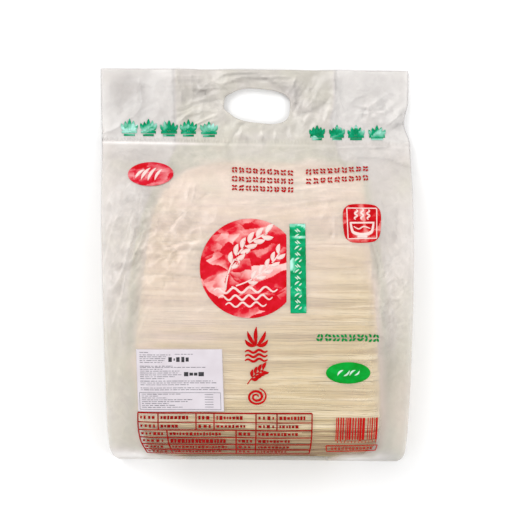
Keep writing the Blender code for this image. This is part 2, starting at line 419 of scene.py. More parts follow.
rng = np.random.default_rng(7)
for layer, depth in enumerate(LAYER_DEPTHS, 1):
    lines, tone = skein_lines(layer, depth, rng)
    skin = tubes(lines, STRAND_RADIUS, STRAND_SIDES)
    strands = len(lines)
    tones = np.broadcast_to(tone[:, None, None], skin.shape[:3])
    half = strands // 2
    for part, chosen in (("foot", slice(0, half)), ("head", slice(half, strands))):
        piece = make_piece(
            f"noodle_skeins_{layer}_{part}", skin[chosen].reshape(-1, 3),
            (tube_faces(len(skin[chosen]), LOOP_POINTS, STRAND_SIDES),), noodle, {"tone": tones[chosen]},
        )
        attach(piece, "root")


# --------------------------------------------------------------------------------------------
# The bag's body
# Blown polyethylene film about 0.08 mm thick, clear but milky, folded into a side gusset along
# each edge. It lies taut over the lower half of the block and crumpled over the upper left.
# --------------------------------------------------------------------------------------------

BACK_CREASE = ((-204, 4), (-196, 7), (-170, 8), (60, 8), (100, 9), (SEAL_Y, 10.2), (140, 8.6), (204, 3.6))
BACK_MIDDLE = ((-204, 4), (-196, 0), (90, 0), (108, 3), (SEAL_Y, 10.2), (140, 8.6), (204, 3.6))
BACK_ROUNDING = 26.0
BACK_CLEARANCE = 0.15
GUSSET_DEPTH = (
    (-204, 5), (-190, 14), (-120, 21), (-35, 27), (14, 35), (60, 47), (88, 60), (108, 71),
    (SEAL_Y, 77), (204, 77),
)

# Where the film is slack it folds. Each field of folds: its middle (x, y) and how far it reaches,
# the way its folds run in degrees from +x, their length and spacing, and their height.
FOLD_FIELDS = (
    ((-20, 193), (62, 8), 3, 45, 5.2, 2.0),
    ((-58, 152), (34, 14), 27, 40, 6.0, 2.0),
    ((3, 137), (38, 9), 92, 16, 7.5, 1.9),
    ((62, 160), (22, 26), 76, 24, 8.0, 2.0),
    ((46, 184), (12, 16), 62, 20, 5.5, 1.7),
    ((124, 162), (20, 15), 35, 18, 12.0, 2.6),
    ((150, 148), (13, 17), 42, 22, 7.0, 1.3),
    ((-125, 172), (32, 30), 84, 60, 20.0, 2.4),
    ((-76, 176), (8, 28), 91, 60, 6.0, 0.9),
    ((-136, 0), (24, 76), 71, 46, 7.5, 2.4),
    ((-130, 10), (22, 60), 58, 20, 5.0, 0.9),
    ((-84, 30), (44, 46), 48, 16, 9.0, 1.3),
    ((-84, 26), (42, 44), -38, 18, 8.0, 0.9),
    ((-18, 0), (40, 46), 20, 26, 14.0, 1.6),
    ((-30, -8), (26, 34), -50, 22, 12.0, 1.2),
    ((50, 75), (64, 26), 8, 60, 8.0, 1.4),
    ((118, -10), (12, 44), 88, 40, 6.0, 1.2),
    ((141, -22), (17, 30), 40, 11, 6.0, 1.1),
    ((142, -22), (15, 26), -60, 10, 6.0, 0.7),
    ((90, 5), (36, 26), -8, 40, 8.0, 0.6),
    ((0, 113), (170, 9), 90, 16, 13.0, 0.9),
    ((-142, -120), (14, 55), 84, 60, 12.0, 0.7),
    ((150, -115), (12, 55), 92, 70, 12.0, 0.6),
    ((10, -120), (135, 62), 1, 90, 5.0, 0.16),
    ((-122, -196), (30, 8), 25, 16, 7.0, 1.2),
    ((134, -196), (26, 8), 155, 16, 7.0, 1.2),
)

# Single creases, each from a start to an end, with its bow, half width and height; one below 0 is
# a valley.
CREASES = (
    # over the hand hole and round its left end
    ((-58, 182), (14, 196), 0.16, 3.0, 1.6), ((-30, 190), (42, 172), 0.20, 3.4, 1.8),
    ((-14, 197), (44, 178), 0.12, 2.6, 1.3), ((-54, 176), (-14, 190), 0.10, 2.4, -1.3),
    ((-60, 197), (-48, 180), -0.20, 3.0, 1.6), ((-50, 196), (-40, 186), 0.20, 2.6, -1.2),
    ((-66, 184), (-30, 189), -0.08, 3.0, 1.4), ((-80, 158), (-34, 172), 0.06, 4.6, -1.7),
    ((-80, 164), (-52, 173), 0.0, 3.0, 1.5), ((-78, 151), (-40, 160), 0.08, 3.6, 1.7),
    ((-83, 200), (-76, 168), 0.04, 3.2, 1.6), ((-78, 200), (-73, 166), 0.03, 2.4, -1.3),
    ((-67, 200), (-65, 172), 0.02, 2.8, 1.5),
    # over the left side of the head
    ((-122, 194), (-119, 162), 0.03, 4.0, 1.8), ((-119, 162), (-160, 134), 0.05, 4.0, 1.6),
    ((-136, 198), (-140, 150), -0.04, 7.0, -1.2), ((-152, 196), (-150, 166), 0.0, 6.0, 0.9),
    # right of the hole, and the folded corner
    ((42, 196), (44, 158), -0.06, 3.0, 1.8), ((50, 192), (40, 160), 0.04, 2.6, -1.5),
    ((44, 158), (78, 176), -0.10, 4.0, -1.8), ((52, 164), (80, 169), 0.20, 3.0, 1.4),
    ((82, 200), (84, 150), 0.02, 3.0, 1.3), ((95, 168), (146, 160), 0.26, 7.0, 1.8),
    ((110, 176), (148, 152), 0.22, 4.0, -1.5), ((111, 152), (118, 168), 0.06, 2.8, -1.8),
    ((118, 168), (119, 152), 0.0, 2.6, 1.6), ((92, 158), (101, 166), 0.1, 4.0, -1.2),
    ((136, 146), (159, 166), -0.03, 2.8, 2.2), ((140, 140), (158, 150), 0.08, 3.6, -1.6),
    # under the hole
    ((-30, 120), (-9, 150), 0.06, 3.6, -1.6), ((-20, 122), (-14, 146), -0.05, 4.0, 1.5),
    ((-9, 138), (-8, 120), 0.0, 3.0, 1.4), ((7, 139), (8, 119), 0.03, 2.8, 1.8),
    ((20, 138), (22, 120), 0.0, 3.4, 1.2), ((30, 140), (38, 122), 0.06, 4.0, -1.2),
    # across the seal at the right, and down the shoulder
    ((88, 122), (136, 124), 0.02, 1.9, 1.5), ((118, 122), (163, 132), -0.08, 2.2, -1.7),
    ((126, 124), (163, 129), -0.05, 1.9, 1.8), ((44, 119), (80, 120.5), 0.02, 1.9, 1.2),
    ((100, 112), (160, 102), 0.08, 4.2, 1.8), ((60, 109), (112, 104), 0.06, 3.6, 0.9),
    ((-150, 114), (-92, 118), 0.05, 4.4, 1.2),
    # the left wing's steep folds
    ((-117, 42), (-131, 6), 0.05, 3.0, -1.9), ((-121, 36), (-137, -4), 0.05, 2.8, 1.9),
    ((-112, 26), (-124, -2), -0.06, 3.0, 1.6), ((-133, -6), (-138, -36), 0.03, 2.8, -1.9),
    ((-130, -8), (-136, -38), 0.03, 2.6, 1.8), ((-144, 4), (-146, -20), 0.02, 3.0, 1.5),
    ((-122, -4), (-108, 8), 0.10, 3.0, -1.5), ((-128, 74), (-144, 40), 0.04, 4.0, -1.4),
    ((-124, 62), (-134, 32), 0.05, 3.4, 1.4), ((-141, -48), (-134, -84), 0.05, 4.0, 1.3),
    ((-118, -32), (-125, -54), 0.08, 3.0, -1.4), ((-150, -30), (-147, -76), 0.0, 5.0, 1.3),
    # over the upper left of the noodles
    ((-88, 33), (-70, 54), 0.04, 2.8, -1.7), ((-84, 35), (-66, 56), 0.04, 2.6, 1.2),
    ((-90, 17), (-56, 25), 0.05, 2.6, -1.6), ((-90, 13), (-57, 22), 0.05, 2.4, 1.2),
    ((-108, -11), (-56, -13), 0.02, 2.8, -1.5), ((-86, 8), (-78, -2), 0.06, 2.4, 1.6),
    ((-80, 11), (-87, -2), 0.06, 2.4, -1.5), ((-91, 4), (-72, 2), 0.05, 2.4, 1.2),
    ((-82, -8), (-83, -20), 0.02, 2.4, -1.5), ((-90, -14), (-92, -26), 0.02, 2.4, -1.4),
    ((-67, 82), (-70, 66), 0.03, 2.6, 1.5), ((-61, 82), (-65, 60), 0.03, 2.6, 1.5),
    ((-58, 66), (-44, 72), 0.08, 2.8, -1.3), ((-115, 70), (-94, 64), 0.08, 3.6, -1.2),
    ((-108, -30), (-111, -42), 0.05, 2.6, -1.2), ((-60, -50), (-40, -44), 0.12, 3.4, 1.2),
    # over the right of the noodles, and along their border
    ((50, 3), (97, -1), -0.05, 2.0, 1.2), ((84, -5), (97, -11), 0.04, 2.2, 1.0),
    ((78, 37), (75, 27), 0.0, 2.2, -1.4), ((81, 50), (80, 26), 0.02, 2.4, 1.1),
    ((116, 25), (124, -12), 0.05, 2.6, -1.8), ((119, 25), (128, -8), 0.05, 2.4, 1.6),
    ((55, 72), (90, 79), 0.03, 3.6, 1.1), ((52, 60), (88, 68), -0.03, 3.4, -0.9),
    ((128, 70), (130, 30), 0.03, 4.0, 1.2), ((144, 60), (142, 22), 0.03, 4.0, -1.1),
    ((124, -36), (127, -60), 0.02, 2.4, 1.2), ((134, -28), (133, -50), 0.02, 2.4, -1.2),
    ((146, -12), (152, -30), 0.06, 3.0, 1.4), ((133, 100), (158, 86), 0.10, 4.6, 1.2),
    # round the foot's right corner
    ((84, -194), (106, -200), 0.10, 2.0, 1.5), ((98, -192), (118, -199), -0.12, 1.8, 1.6),
    ((112, -190), (138, -200), 0.05, 2.0, 1.3), ((128, -184), (144, -197), 0.04, 2.4, 1.1),
)

# Folds that run out from a pinched point like a star: the point, how far they reach, how many
# there are, and their height.
PINCHES = (
    ((-19, -6), 24, 7, 1.3),
    ((-86, 9), 20, 5, 0.9),
    ((125, 161), 18, 5, 1.0),
    ((-84, 151), 16, 5, 0.8),
    ((-118, 58), 20, 5, 0.9),
    ((34, 168), 14, 5, 0.8),
)

# Where the film is slack, as (middle, reach, how much), and its crumpling as (spacing, height,
# turn)
SLACK_FIELDS = (
    ((-90, 30), (60, 60), 0.75), ((60, 60), (80, 45), 0.30), ((-140, 0), (20, 90), 0.55),
    ((147, -10), (18, 80), 0.65), ((40, 165), (60, 34), 0.70), ((-50, 168), (40, 34), 0.65),
    ((-128, 165), (30, 36), 0.25), ((130, 160), (30, 40), 0.55), ((0, 112), (170, 14), 0.35),
    ((-140, -150), (16, 50), 0.30), ((152, -140), (12, 60), 0.25), ((130, -38), (14, 38), 0.80),
)
CRUMPLES = ((27.0, 1.8, 0.5), (13.0, 0.8, 1.3), (6.6, 0.25, 2.2))
FOLD_FLOOR = -1.7         # the lowest that a fold goes, from the film's form

FRONT_COLUMNS = 221       # twice the back's, less one
BACK_COLUMNS = 111
GUSSET_COLUMNS = 41
FINE_FROM = -60.0         # above this place the rows of points are closer together
COARSE_ROWS = 52
FINE_ROWS = 190
BACK_START = FRONT_COLUMNS + GUSSET_COLUMNS

# The hand hole, and the block of the front's cells that makes way for it
HOLE_CENTRE = (1.5, 166.0)
HOLE_HALF = (34.5, 18.0)
HOLE_POWER = 3.2
HOLE_TILT = math.radians(-5)
HOLE_TAPER = 0.28
HOLE_COLUMN = 112
HOLE_COLUMNS = 24
HOLE_ROW = 214
HOLE_ROWS = 13

CRIMP_SCALE = 90.0        # about one ridge every 3.5 mm


def bell(x, y, middle, reach):
    """A bell curve: 1 at the middle, and e to the power of -1 at the reach along x or along y."""
    return np.exp(-(((x - middle[0]) / reach[0]) ** 2) - ((y - middle[1]) / reach[1]) ** 2)


def fold_fields(x, y):
    """Height of the folds: in each field the lines where a stretched soft noise is zero stand up
    as creases, and the field fades with a bell curve from its middle."""
    height = np.zeros(np.broadcast(x, y).shape)
    for seed, (middle, reach, way, length, spacing, rise) in enumerate(FOLD_FIELDS, 100):
        aside, ahead = x - middle[0], y - middle[1]
        cos, sin = math.cos(math.radians(way)), math.sin(math.radians(way))
        along, across = aside * cos + ahead * sin, ahead * cos - aside * sin
        bent = across + 0.25 * spacing * soft_noise(along / length * 1.7, across / spacing / 2, seed + 50)
        noise = soft_noise(along / length + 30, bent / spacing + 30, seed)
        ridge = 1 - 1.6 * np.sqrt(noise**2 + 0.004)
        height = height + rise * bell(x, y, middle, reach) * ridge
    return height


def slack(x, y):
    """How slack the film is: near 0 where it is stretched over the lower block, up to 1."""
    share = np.full(np.broadcast(x, y).shape, 0.12)
    for middle, reach, more in SLACK_FIELDS:
        share = share + more * bell(x, y, middle, reach)
    return np.clip(share, 0, 1)


def crumple(x, y):
    """Height of the fine crumpling: creases along the lines where each turned and bent soft noise
    is zero, at three spacings, most where the film is slack."""
    height = np.zeros(np.broadcast(x, y).shape)
    for seed, (spacing, rise, turn) in enumerate(CRUMPLES, 400):
        cos, sin = math.cos(turn), math.sin(turn)
        across, along = x / spacing / 1.7, y / spacing / 1.7
        u = (x * cos + y * sin) / spacing + 0.6 * soft_noise(across, along, seed + 20)
        v = (y * cos - x * sin) / spacing + 0.6 * soft_noise(across + 9, along, seed + 30)
        noise = soft_noise(u + 40, v + 40, seed)
        height = height + rise * (0.5 - 1.6 * np.sqrt(noise**2 + 0.003))
    return slack(x, y) * height


def pinched_folds(x, y):
    """Height of the star folds: round each point they rise and fall with the angle, most at a
    small distance from it and dying away beyond."""
    height = np.zeros(np.broadcast(x, y).shape)
    for seed, (middle, reach, count, rise) in enumerate(PINCHES, 300):
        away = np.hypot(x - middle[0], y - middle[1])
        angle = np.arctan2(y - middle[1], x - middle[0])
        bend = 1.6 * soft_noise(away / 9 + 20, np.sin(angle) * 2 + seed, seed)
        bend = bend + 1.1 * np.sin(2 * angle + seed)
        fold = 0.6 - 1.6 * np.abs(np.sin(count * angle / 2 + bend))
        height = height + rise * fold * np.exp(-away / reach) * smooth_step(away / 9)
    return height


def single_creases(x, y):
    """Height of the single creases: each rises to a sharp edge along its bowed line, as an
    exponential of the distance from it over its half width, and fades at both ends."""
    x, y = np.broadcast_arrays(x, y)
    height = np.zeros(x.shape)
    wander = soft_noise(x / 5, y / 5, 350)
    for start, end, bow, half_width, rise in CREASES:
        span = math.dist(start, end)
        reach = (1 + abs(bow)) * span / 2 + 6 * half_width
        near = np.hypot(x - (start[0] + end[0]) / 2, y - (start[1] + end[1]) / 2) < reach
        aside, ahead = x[near] - start[0], y[near] - start[1]
        cos, sin = (end[0] - start[0]) / span, (end[1] - start[1]) / span
        along = (aside * cos + ahead * sin) / span
        across = ahead * cos - aside * sin - 4 * bow * span * along * (1 - along)
        across = across + 0.25 * half_width * wander[near]
        inside = smooth_step(np.minimum(along + 0.12, 1.12 - along) * span / (3 * half_width))
        height[near] += rise * inside * np.exp(-np.abs(across) / half_width)
    return height


def seal_line(x):
    """Place of the cross seal, which falls to the right by as much again as the bag leans."""
    return SEAL_Y - 1.2 - LEAN * x


def film_folds(x, y):
    """The folds, stilled at the lip and the side creases and pressed flat at the cross seal, and
    stopped softly where they would go below the noodles."""
    lip = smooth_step((y + HALF_LENGTH) / 12)
    pressed = 1 - 0.85 * np.exp(-(((y - seal_line(x) - 3) / 4) ** 2))
    pressed = pressed * (0.2 + 0.8 * smooth_step(from_edge(x, y) / 9))
    folds = fold_fields(x, y) + pinched_folds(x, y) + crumple(x, y) + single_creases(x, y)
    return lip * pressed * ((folds + FOLD_FLOOR) + np.sqrt((folds - FOLD_FLOOR) ** 2 + 0.2)) / 2


def front_film(x, y):
    """Height of the front film with its folds."""
    return front_form(x, y) + film_folds(x, y)


def back_film(x, y):
    """Height of the back film: it lies flat, turns up at the sides and to the seals, and follows
    the front over the head."""
    outward = 1 - smooth_step(from_edge(x, y) / BACK_ROUNDING)
    middle = curve_through(BACK_MIDDLE, y)
    resting = middle + (curve_through(BACK_CREASE, y) - middle) * outward
    share = head_share(y)
    moved = film_waves(x, y) * smooth_step(from_edge(x, y) / SHOULDER_WIDTH * 2) + film_folds(x, y)
    crinkle = 0.35 * (1.4 + soft_noise(x / 23, y / 17, 31) + 0.4 * soft_noise(x / 9, y / 7, 32))
    lip = smooth_step((y + HALF_LENGTH) / 12)
    return BACK_CLEARANCE + resting + share * moved + (1 - share) * lip * crinkle


def hole_warp(x, y, across, along):
    """Moves points so that the block of cells to be cut away gets the outline of the hand hole: a
    tilted superellipse, narrower at its left end. Across and along are 1 at the block's border;
    the pull is whole up to there and has died away at about twice that distance."""
    out = np.maximum(np.maximum(np.abs(across), np.abs(along)), 1e-6)
    power = 1 / HOLE_POWER
    shrink = out / (np.abs(across) ** HOLE_POWER + np.abs(along) ** HOLE_POWER + 1e-12) ** power
    aside = across * shrink * HOLE_HALF[0]
    ahead = along * shrink * HOLE_HALF[1] * (1 - HOLE_TAPER * np.clip(-across / out, 0, 1) ** 2)
    cos, sin = math.cos(HOLE_TILT), math.sin(HOLE_TILT)
    pull = 1 - smooth_step((out - 1) / 1.1)
    moved_x = HOLE_CENTRE[0] + aside * cos - ahead * sin
    moved_y = HOLE_CENTRE[1] + aside * sin + ahead * cos
    return x + (moved_x - x) * pull, y + (moved_y - y) * pull


def film_rings():
    """Rings of points round the bag, row by row from the foot's lip to the head's edge: front from
    left to right, right gusset from front to back, back from right to left, left gusset."""
    coarse = np.linspace(-HALF_LENGTH, FINE_FROM, COARSE_ROWS, endpoint=False)
    y = np.concatenate([coarse, np.linspace(FINE_FROM, HALF_LENGTH, FINE_ROWS)])[:, None]
    left, right = -curve_through(LEFT_EDGE, y), curve_through(RIGHT_EDGE, y)
    front_x = left + (right - left) * np.linspace(0, 1, FRONT_COLUMNS)
    across = (np.arange(FRONT_COLUMNS) - HOLE_COLUMN) / HOLE_COLUMNS
    along = ((np.arange(len(y)) - HOLE_ROW) / HOLE_ROWS)[:, None]
    front_x, front_y = hole_warp(front_x, y, across, along)
    front = np.stack([front_x, front_y, front_film(front_x, front_y)], axis=-1)
    back_x, back_y = front_x[:, ::-2], front_y[:, ::-2]
    back = np.stack([back_x, back_y, back_film(back_x, back_y)], axis=-1)
    upward = np.linspace(1, 0, GUSSET_COLUMNS + 2)[1:-1]
    inward = 1 - np.abs(2 * upward - 1)
    flat = head_share(y + 10)
    gussets = []
    for edge, way in ((right, -1), (left, 1)):
        x = edge + way * curve_through(GUSSET_DEPTH, y) * inward
        high, low = front_film(edge, y), back_film(edge, y)
        free = low + (high - low) * upward
        top, bottom = front_film(x, y), back_film(x, y)
        pressed = bottom + (top - bottom) * (0.5 + (upward - 0.5) * (0.5 + 0.5 * (1 - inward)))
        gussets.append(np.stack(np.broadcast_arrays(x, y, free + (pressed - free) * flat), axis=-1))
    return np.concatenate([front, gussets[0], back, gussets[1][:, ::-1]], axis=1)


def ladder(wide, narrow):
    """Triangles between a chain of points and one with half as many, three to each step."""
    left, middle, right = wide[:-1:2], wide[1::2], wide[2::2]
    below, beyond = narrow[:-1], narrow[1:]
    steps = ((left, below, middle), (middle, below, beyond), (middle, beyond, right))
    return np.concatenate([np.stack(step, axis=-1) for step in steps])


def film_ends(rows, around):
    """Triangles that close the bag at its first and last ring: a ladder between front and back,
    and a fan over each folded gusset."""
    faces = []
    for first, foot in ((0, True), ((rows - 1) * around, False)):
        ring = first + np.arange(around)
        front, back = ring[:FRONT_COLUMNS], ring[BACK_START:BACK_START + BACK_COLUMNS][::-1]
        right = ring[FRONT_COLUMNS - 1:BACK_START + 1]
        left = np.concatenate([ring[BACK_START + BACK_COLUMNS - 1:], ring[:1]])
        parts = [ladder(front, back)]
        for chain in (right, left):
            parts.append(np.stack([np.full(len(chain) - 2, chain[0]), chain[2:], chain[1:-1]], axis=-1))
        faces += parts if foot else [part[:, ::-1] for part in parts]
    return faces


def film_faces(rows, around):
    """The bag's faces, without those inside the hand hole, and with the band that joins front and
    back round it."""
    first, last = HOLE_COLUMN - HOLE_COLUMNS, HOLE_COLUMN + HOLE_COLUMNS
    back_first, back_last = (BACK_START + (FRONT_COLUMNS - 1 - end) // 2 for end in (last, first))
    kept = np.ones((rows - 1, around), bool)
    kept[HOLE_ROW - HOLE_ROWS:HOLE_ROW + HOLE_ROWS, first:last] = False
    kept[HOLE_ROW - HOLE_ROWS:HOLE_ROW + HOLE_ROWS, back_first:back_last] = False
    index = np.arange(rows * around).reshape(rows, around)
    rim_rows = slice(HOLE_ROW - HOLE_ROWS, HOLE_ROW + HOLE_ROWS + 1)
    faces = [ring_faces(rows, around)[kept.ravel()], *film_ends(rows, around)]
    for front_column, back_column, turned in ((first, back_last, False), (last, back_first, True)):
        front, back = index[rim_rows, front_column], index[rim_rows, back_column]
        wall = np.stack([front[:-1], back[:-1], back[1:], front[1:]], axis=-1)
        faces.append(wall[:, ::-1] if turned else wall)
    for row, turned in ((HOLE_ROW + HOLE_ROWS, False), (HOLE_ROW - HOLE_ROWS, True)):
        band = ladder(index[row, first:last + 1], index[row, back_first:back_last + 1][::-1])
        faces.append(band[:, ::-1] if turned else band)
    return faces


def only_used(points, faces, values):
    """Points, faces and values without the points that no face uses."""
    used = np.unique(np.concatenate([part.ravel() for part in faces]))
    place = np.zeros(len(points), int)
    place[used] = np.arange(len(used))
    kept_values = {key: value[used] for key, value in values.items()}
    return points[used], [place[part] for part in faces], kept_values


def film_material():
    """Blown low-density polyethylene: milky because its surface and its crystals scatter light,
    so it hides more where it stands off the noodles or is creased, and takes on their colour
    where it lies on them. Ridges are pressed across the seal. Glossy on both sides."""
    material, tree = new_material("polyethylene_film")
    place = add_node(tree, "TexCoord").outputs["Object"]
    veil, warmth_and_shade, crimp, bright, slackness = (
        add_node(tree, "Attribute", attribute_name=kept).outputs["Fac"]
        for kept in ("veil", "warmth_and_shade", "crimp", "bright", "slackness")
    )
    cloud = add_node(tree, "TexNoise", {"Vector": place, "Scale": 45.0, "Detail": 4.0})
    hue = add_node(tree, "Math", {0: cloud, 1: 0.20, 2: warmth_and_shade}, operation="MULTIPLY_ADD")
    # The ramp's darkest, olive end is painted shade where the film turns down round the foot and along the
    # label's top edge; it also deepens the warmest film over the noodles
    cool_to_warm_to_shade = (
        (0.02, "#ECE8E5"), (0.18, "#E0D9D4"), (0.30, "#DCD7CA"), (0.50, "#F1DED3"),
        (0.72, "#E7D6BB"), (1.00, "#A09A80"),
    )
    tint = add_node(tree, "ValToRGB", {"Fac": hue}, cool_to_warm_to_shade)
    # Creases stand up where the film is slack, along the borders of cells of two sizes, which a
    # soft noise bends
    bend = add_node(tree, "TexNoise", {"Vector": place, "Scale": 60.0, "Detail": 2.0})
    bent = add_node(
        tree, "VectorMath", {
            0: bend.outputs["Color"], 1: (0.014, 0.014, 0.0), 2: place,
        }, operation="MULTIPLY_ADD"
    )
    large = add_node(tree, "TexVoronoi", {"Vector": bent, "Scale": 75.0}, feature="F1")
    small = add_node(tree, "TexVoronoi", {"Vector": bent, "Scale": 165.0}, feature="F1")
    facet = add_node(tree, "Math", {0: small, 1: 0.35, 2: large}, operation="MULTIPLY_ADD")
    crushed = add_node(tree, "Math", {0: facet, 1: slackness}, operation="MULTIPLY")
    ridges = add_node(
        tree, "TexWave", {"Vector": place, "Scale": CRIMP_SCALE, "Distortion": 0.6}, bands_direction="X"
    )
    pressed = add_node(tree, "Math", {0: ridges.outputs["Fac"], 1: crimp}, operation="MULTIPLY")
    # Each small flat between the creases gets its own painted share of light, and fine veins of painted
    # light and shade run over them; both also feed the bump a little. Both show only where the film is slack
    fine = add_node(
        tree, "TexNoise", {
            "Vector": bent, "Scale": 70.0, "Detail": 3.0, "Roughness": 0.65, "Lacunarity": 2.2,
            "Offset": 0.9, "Gain": 1.5,
        }, noise_type="RIDGED_MULTIFRACTAL"
    )
    flats = add_node(tree, "Math", {0: small.outputs["Color"], 1: 1.6, 2: fine}, operation="MULTIPLY_ADD")
    sparkle = add_node(tree, "Math", {0: flats, 1: slackness}, operation="MULTIPLY")
    # Painted light and shade: the brightness kept per point, plus the facets' own painted share of light,
    # sets the film's value
    painted_light_level = add_node(tree, "Math", {0: slackness, 1: -0.19, 2: bright}, operation="MULTIPLY_ADD")
    painted_light_level = add_node(tree, "Math", {0: sparkle, 1: 0.12, 2: painted_light_level}, operation="MULTIPLY_ADD")
    toned = add_node(tree, "HueSaturation", {"Value": painted_light_level, "Color": tint})
    haze = add_node(tree, "Math", {0: cloud, 1: 0.10, 2: veil}, operation="MULTIPLY_ADD")
    hidden = add_node(tree, "Math", {0: pressed, 1: 0.10, 2: haze}, operation="MULTIPLY_ADD", use_clamp=True)
    relief = add_node(tree, "Math", {0: pressed, 1: 0.6, 2: crushed}, operation="MULTIPLY_ADD")
    relief = add_node(tree, "Math", {0: sparkle, 1: 0.08, 2: relief}, operation="MULTIPLY_ADD")
    bump = add_node(tree, "Bump", {"Height": relief, "Strength": 0.7, "Distance": 0.0025})
    shader = add_node(
        tree, "BsdfPrincipled", {
            "Base Color": toned, "Roughness": 0.36, "IOR": 1.51, "Alpha": hidden, "Coat Weight": 0.30,
            "Coat Roughness": 0.16, "Normal": bump,
        }
    )
    add_node(tree, "OutputMaterial", {"Surface": shader})
    return material


# Where the film differs, as (middle, reach, how much milkier, how much warmer, how much brighter). Most of
# the brightness, and the warmth that runs into the ramp's dark olive end, is painted light and shade: darker
# facets and folds, lighter patches, and a painted dark line along the label's top edge
FILM_FIELDS = (
    ((-80, 40), (60, 55), 0.03, 0.0, -0.02),
    ((0, 90), (150, 34), 0.10, 0.0, 0.05),
    ((-118, 172), (44, 34), 0.0, 0.0, -0.06),
    ((-130, 176), (9, 26), 0.05, 0.04, -0.06),
    ((-97, 178), (14, 26), 0.0, 0.0, 0.06),
    ((0, 114), (120, 9), 0.05, -0.06, 0.05),
    ((0, 132), (80, 7), 0.0, -0.03, 0.08),
    ((-125, 128), (60, 6), 0.0, -0.06, 0.05),
    ((-130, 110), (40, 9), 0.0, 0.0, -0.09),
    ((-140, 0), (24, 90), 0.0, -0.01, 0.06),
    ((148, 0), (16, 60), 0.0, 0.0, 0.07),
    ((150, -120), (20, 56), 0.0, 0.05, -0.12),
    ((134, -92), (9, 50), -0.04, -0.07, -0.14),
    ((62, 184), (24, 12), 0.0, 0.02, -0.03),
    ((60, 160), (30, 16), 0.0, 0.0, 0.07),
    ((152, 148), (8, 10), 0.0, 0.0, -0.16),
    ((142, 145), (9, 6), 0.0, 0.0, 0.06),
    ((127, -32), (8, 28), 0.05, -0.04, 0.06),
    ((-78, -81.5), (38, 2.8), 0.05, 0.25, -0.20),
    ((-95, -120), (38, 50), 0.10, -0.10, 0.02),
    ((10, 60), (80, 30), 0.04, -0.03, 0.02),
    ((-50, 170), (44, 30), 0.0, -0.02, 0.03),
    ((-72, -66), (24, 4), 0.0, 0.12, -0.06),
    ((85, -22), (30, 44), 0.0, 0.0, -0.03),
    ((-124, -197), (38, 8), 0.30, -0.34, 0.15),
    ((138, -198), (30, 9), 0.22, -0.03, -0.21),
    ((102, -197), (22, 7), 0.50, -0.34, 0.10),
)
WINDOW = (-0.6, 0.8)      # the way to the light that painted light and shade on the folds take
FOLD_SHADE = 0.22         # how much brighter painted light makes a fold on its side towards the window, and darker on the other
CREASE_SHADE = 0.17       # how much darker painted shade makes a crease's own line


def inside_block(x, y, border):
    """1 over the noodle block and 0 beside it, with a soft border of this width."""
    beside = np.minimum(x + curve_through(BLOCK_LEFT, y), curve_through(BLOCK_RIGHT, y) - x)
    beyond = np.minimum(y - BLOCK_FOOT, BLOCK_HEAD - y)
    return smooth_step(np.minimum(beside, beyond) / border + 0.5)


def film_values(x, y):
    """Per point: how much the film hides, how warm and how bright it looks, how slack it is, and
    how deep the seal's ridges are. It hides least where it is taut on the noodles, more where it
    is slack or folded. Its brightness is painted light and shade: a fold is painted brighter on its
    side towards the window and darker away from it, and creases and the foot are painted darker."""
    folds = film_folds(x, y)
    slope_x, slope_y = (film_folds(x + 0.8, y) - folds) / 0.8, (film_folds(x, y + 0.8) - folds) / 0.8
    # Towards the head and the left the film stands off the noodles a little, and hides more
    upper = smooth_step((y + 150 - 0.6 * x) / 140)
    over, in_head = inside_block(x, y, 18), smooth_step((y - SEAL_Y) / 8)
    in_gusset = smooth_step((curve_through(GUSSET_DEPTH, y) - from_edge(x, y)) / 5 + 0.5)
    veil = 0.44 - 0.15 * over + 0.21 * over * upper - 0.22 * over * smooth_step((-136 - y) / 30)
    veil = veil + in_head * (0.26 - 0.32 * in_gusset)
    veil = veil + 0.03 * np.clip(folds, -1, 3) + 0.10 * np.clip(np.hypot(slope_x, slope_y), 0, 0.7)
    cooler = 0.12 * smooth_step((y + 150) / 160) + 0.16 * in_head
    warmth_and_shade = 0.20 - 0.05 * in_head * (1 - in_gusset) - in_gusset * (1 - over) * cooler
    warmth_and_shade = warmth_and_shade + (0.42 - 0.22 * upper) * inside_block(x, y, 22) + 0.05 * soft_noise(x / 31, y / 26, 33)
    # Painted light and shade: each fold is painted brighter on its side towards the window and darker on the
    # other, each crease's own line is painted darker, and the head between the gussets is darker
    facing = np.clip(-WINDOW[0] * slope_x - WINDOW[1] * slope_y, -0.8, 0.8)
    bright = 1.0 + FOLD_SHADE * facing - 0.15 * in_head * (1 - in_gusset)
    bright = bright - CREASE_SHADE * np.clip(np.abs(single_creases(x, y)) / 1.6, 0, 1) ** 2
    # The side crease is clearer, and a painted highlight brightens it
    rim = smooth_step(1 - from_edge(x, y) / 1.6)
    veil, bright = veil - 0.22 * rim, bright + 0.16 * rim
    for middle, reach, milkier, warmer, brighter in FILM_FIELDS:
        near = bell(x, y, middle, reach)
        veil, warmth_and_shade, bright = veil + milkier * near, warmth_and_shade + warmer * near, bright + brighter * near
    # Where the film turns down round the foot of the block it is clearer, so the strands behind it show
    # through, and painted shade darkens it there, also by pushing it to the ramp's dark olive end
    under = smooth_step((-189.5 - y) / 3) * smooth_step((x + 92) / 26) * smooth_step((92 - x) / 22)
    veil, warmth_and_shade, bright = veil - 0.10 * under, warmth_and_shade + 0.55 * under, bright - 0.16 * under
    seal = y - seal_line(x)
    strength = 0.25 + 0.75 * smooth_step((x + 10) / -60)
    line = np.exp(-((seal / 1.6) ** 2)) * strength
    return {
        "veil": np.clip(veil + 0.30 * line, 0, 0.95),
        "warmth_and_shade": warmth_and_shade - 0.10 * line,
        "bright": bright + 0.06 * line,
        "slackness": slack(x, y),
        "crimp": strength * smooth_step((seal - 1) / 1.5) * smooth_step((6.0 - seal) / 2),
    }


